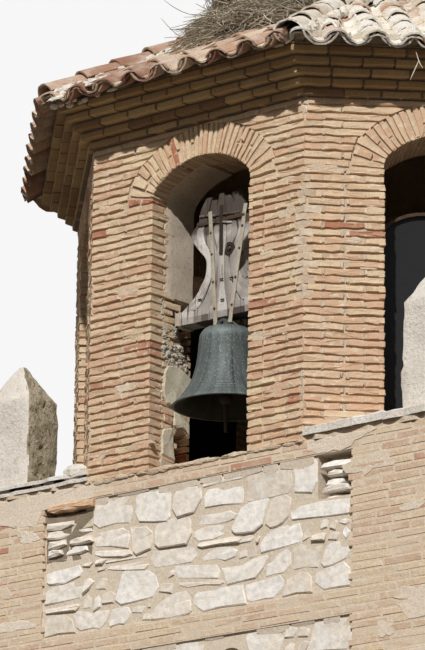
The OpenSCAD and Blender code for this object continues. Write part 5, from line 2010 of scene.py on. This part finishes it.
for side in (-1, 1):
    face = side * (yoke_t / 2 + strap_t / 2 + 0.003)
    for x_low, x_high in ((-0.040, -0.107), (0.098, 0.240)):
        def along_strap(z):
            return x_low + (x_high - x_low) * (z - strap_foot) / (strap_top - strap_foot)

        yoke_bar(straps, (along_strap(strap_foot), along_strap(strap_top)), face, (strap_foot, strap_top),
                 strap_w, strap_t, (1, 0, 0), steps=12, wave=0.0012)
        for z in (0.02, 0.23, 0.45, 0.62):
            stud(bolts, axle.x + along_strap(z), axle.y + face + side * strap_t / 2, axle.z + z, side,
                 ((-0.004, 0.010), (0.004, 0.010), (0.008, 0.005)))
        yoke_bar(straps, along_strap(strap_foot), (face, side * 0.035),
                 (strap_foot + 0.012, strap_foot - 0.004), strap_w * 0.8, strap_t, (1, 0, 0))
    yoke_bar(bolts, 0.002, face, (waist_z + 0.06, strap_top + 0.03), 0.03, strap_t, (1, 0, 0), 0.1,
             steps=8, wave=0.001)
    band_half = yoke_half(band_z) + 0.006
    yoke_bar(bolts, (-band_half, band_half), face, band_z - 0.03, 0.024, strap_t, (0, 0, 1), 0.3, steps=8,
             wave=0.001)
    for x, z in nail_heads:
        yoke_bar(bolts, (x - 0.016, x + 0.016), face, z, 0.009, 0.008, (0, 0, 1), 0.1)
over = yoke_t / 2 + strap_t
for side in (-1, 1):
    end_x = side * (yoke_half_w - ferrule_middle)
    for y in (-1, 1):
        yoke_bar(straps, end_x, y * (yoke_t / 2 + strap_t / 2), (yoke_low_z - strap_t, arm_r + strap_t),
                 ferrule_w, strap_t, (1, 0, 0), 0.9, steps=4)
    for z in (yoke_low_z - strap_t / 2, arm_r + strap_t / 2):
        yoke_bar(straps, end_x, (-over, over), z, ferrule_w, strap_t, (1, 0, 0), 0.9, steps=4)
    yoke_bar(straps, side * (yoke_half(band_z) + strap_t / 2 - 0.002), (-over, over), band_z - 0.03, 0.032,
             strap_t, (0, 0, 1), 0.3)
place_piece(straps.mesh("strap_irons", sharp=35), strap_finish, "bell",
            stands_for=["yoke_straps"])
for y_side in (-1, 1):
    hole = axle + Vector((0.082, y_side * (yoke_t / 2 + 0.002), 0.465))
    ring = np.linspace(0, 2 * math.pi, 13)[:-1] * -y_side
    wobble = bolts.rng.uniform(0.75, 1.15, 12)
    bolts.add([[(hole.x + 0.05 * r * w * math.cos(a), hole.y + y_side * d,
                 hole.z + 0.058 * r * w * math.sin(a)) for a, w in zip(ring, wobble)]
               for d, r in ((-0.01, 1.0), (0.004, 0.95), (0.004, 0.5), (-0.006, 0.45))], 0.05)
    stud(bolts, *hole, y_side, ((-0.02, 0.014), (0.014, 0.014), (0.018, 0.009)), 12, 0.6)
place_piece(bolts.mesh("bolts_and_nails"), rust_finish, "bell")

# %% Bronze and iron that keep the solid's shape
finish_nodes(["bell_crown"], bronze_finish)
finish_nodes(["clapper", "clapper_staple", "gudgeons", "bearing_blocks"], rust_finish)

# %% [markdown]
# The other seven openings are closed on the inside by dark screens of fine mesh with round corners
# at the top. The one in the right front diagonal ends low, and the others are as high as the solids'.
# The mesh is far too fine to model at this size, so it is a wave in the shader. A thin iron frame runs
# round each screen.

# %% Screens
screen_finish = weathered("dark_mesh", (27, 27, 28), (32, 32, 34), (38, 38, 40), (24, 24, 26), 0.4,
                          bump=0.002, roughness=0.7, metallic=0.2)
screen_tree = screen_finish.node_tree
stripes = screen_tree.nodes.new("ShaderNodeTexWave")
stripes.bands_direction = "Z"
stripes.inputs["Scale"].default_value = 22.0
stripes.inputs["Distortion"].default_value = 0.4
stripe_place = screen_tree.nodes.new("ShaderNodeTexCoord")
screen_tree.links.new(stripe_place.outputs["Object"], stripes.inputs["Vector"])
screen_shader = screen_tree.nodes["Principled BSDF"]
plain = screen_shader.inputs["Base Color"].links[0].from_socket
stripe_share = math_node(screen_tree, "MULTIPLY", stripes.outputs["Fac"], 0.45)
striped = mix_colour(screen_tree, stripe_share, plain, srgb(20, 20, 22))
screen_tree.links.new(striped, screen_shader.inputs["Base Color"])
frames, screens = Stacks(90), Stacks(89)
low_screen_top, round_u, round_z = 11.40, 0.36, 0.24
high_screen_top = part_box("mesh_screens")[1].z - 0.02
for i in range(1, sides):
    along, out = side_axes(i)
    screen_high = low_screen_top if i == 1 else high_screen_top
    left, right, low = left_jamb + 0.012, right_jamb - 0.012, sill_z + 0.015
    outline = [(left, low)]
    for a in np.radians(np.concatenate([np.linspace(180, 90, 9), np.linspace(90, 0, 9)])):
        edge = left + round_u if len(outline) < 10 else right - round_u
        outline.append((edge + round_u * math.cos(a), screen_high - round_z * (1 - math.sin(a))))
    outline.append((right, low))
    middle_u = (left_jamb + right_jamb) / 2
    screens.add([[tuple(out * (inner_r + depth) + along * u + np.array((0, 0, z))) for u, z in outline]
                 for depth in (0.004, 0.022)], 0.5)
    loops = []
    for u, z in outline:
        centre = np.array((u, z))
        way = np.array((middle_u, sill_z + 1.1)) - centre
        way /= np.linalg.norm(way)
        ring = []
        for a, b in ((0, 0), (0.024, 0), (0.024, 0.024), (0, 0.024)):
            point = centre + way * a
            place = out * (inner_r + 0.031 + b) + along * point[0] + np.array((0, 0, point[1]))
            ring.append(tuple(place))
        loops.append(ring)
    frames.add(loops, ends=False)
place_piece(screens.mesh("screens"), screen_finish, stands_for=["mesh_screens"])
place_piece(frames.mesh("screen_frames"), rust_finish)

# %% [markdown]
# The door at the back is boarded: six planks under the low arch, two ledges across, rows of nails and a
# ring to pull it by. Each plank is cut to the arch at its own place.

# %% Plank door
door_low, door_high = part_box("plank_door")
door_timber = timber("door_timber", (92, 74, 58), (116, 96, 76), (140, 120, 98), (48, 38, 30))
door = Stacks(91)
rng = door.rng
door_rise, door_end_r = door_half * 2 * 0.3, door_half * 2 * 0.18


def door_edge(x):
    """Height of the door's arched top at x."""
    a, b, r1 = door_half, door_rise, door_end_r
    rc = (a * a - 2 * a * r1 + b * b) / (2 * (b - r1))
    if abs(x) > a - r1:
        corner = math.sqrt(max(r1 * r1 - (abs(x) - (a - r1)) ** 2, 0.0))
        crown = b - rc + math.sqrt(max(rc * rc - x * x, 0.0))
        return door_high.z - door_rise + min(corner, crown)
    return door_high.z - door_rise + b - rc + math.sqrt(rc * rc - x * x)


plank_count = 6
plank_w = 2 * door_half / plank_count
for k in range(plank_count):
    x0, x1 = -door_half + k * plank_w + 0.003, -door_half + (k + 1) * plank_w - 0.003
    front = door_high.y - rng.uniform(0.0, 0.004)
    xs = np.linspace(x0, x1, 4)
    levels = []
    for share in (0.0, 0.02, 0.3, 0.6, 0.98, 1.0):
        soft = 0.004 if share in (0.0, 1.0) else 0.0
        ring = [(x, door_low.y + 0.01 + soft, 0.01 + (door_edge(x) - 0.008 - 0.01) * share) for x in xs]
        ring += [(x, front - soft, 0.01 + (door_edge(x) - 0.008 - 0.01) * share) for x in xs[::-1]]
        levels.append(ring)
    door.add([ring[::-1] for ring in levels], rng.random())
for z in (0.35, 1.35):
    bar(door, (-door_half + 0.03, door_low.y + 0.004, z), (door_half - 0.03, door_low.y + 0.004, z),
        0.12, 0.02, (0, 0, 1), 0.3, steps=4)
place_piece(door.mesh("door_planks"), door_timber, stands_for=["plank_door"])
door_iron = Stacks(92)
for z in (0.38, 1.4):
    bar(door_iron, (-door_half + 0.015, door_high.y + 0.002, z),
        (door_half - 0.12, door_high.y + 0.002, z), 0.045, 0.006, (0, 0, 1), steps=6, wave=0.001)
    for k in range(plank_count):
        x = -door_half + (k + 0.5) * plank_w
        for dz in (-0.09, 0.0, 0.09):
            stud(door_iron, x, door_high.y, z + dz, 1, ((-0.004, 0.009), (0.007, 0.009), (0.011, 0.004)))
pull, pull_r, pull_wire = (0.3, 1.05), 0.045, 0.007
door_iron.add([[(pull[0] + (pull_r + pull_wire * math.cos(b)) * math.cos(a),
                 door_high.y + 0.010 + pull_wire * math.sin(b),
                 pull[1] + (pull_r + pull_wire * math.cos(b)) * math.sin(a))
                for b in np.linspace(0, 2 * math.pi, 7)[:-1]]
               for a in np.linspace(0, 2 * math.pi, 19)[:-1]], ends=False)
stud(door_iron, pull[0], door_high.y, pull[1] + pull_r, 1,
     ((-0.004, 0.018), (0.008, 0.018), (0.016, 0.010)))
place_piece(door_iron.mesh("door_irons"), rust_finish)

# %% [markdown]
# Last, the floor.

# %% Floor and end
floor_size = 60.0
shown_colour, earth_colour = (0.8, 0.8, 0.79, 1), (0.11, 0.09, 0.065, 1)
floor_mesh = plain_mesh("floor", [(a * floor_size, b * floor_size, 0)
                                  for a, b in ((-1, -1), (1, -1), (1, 1), (-1, 1))], [(0, 1, 2, 3)])
floor = bpy.data.objects.new("floor", floor_mesh)
bpy.context.collection.objects.link(floor)
floor_finish = bpy.data.materials.new("pale_floor")
floor_finish.use_nodes = True
floor_tree = floor_finish.node_tree
pale_floor = floor_tree.nodes["Principled BSDF"]
pale_floor.inputs["Base Color"].default_value = shown_colour
pale_floor.inputs["Roughness"].default_value = 0.9
earth = floor_tree.nodes.new("ShaderNodeBsdfDiffuse")
earth.inputs["Color"].default_value = earth_colour
floor_tree.links.new(show_to_camera(floor_tree, earth.outputs[0], pale_floor.outputs[0]),
                     floor_tree.nodes["Material Output"].inputs["Surface"])
floor_mesh.materials.append(floor_finish)
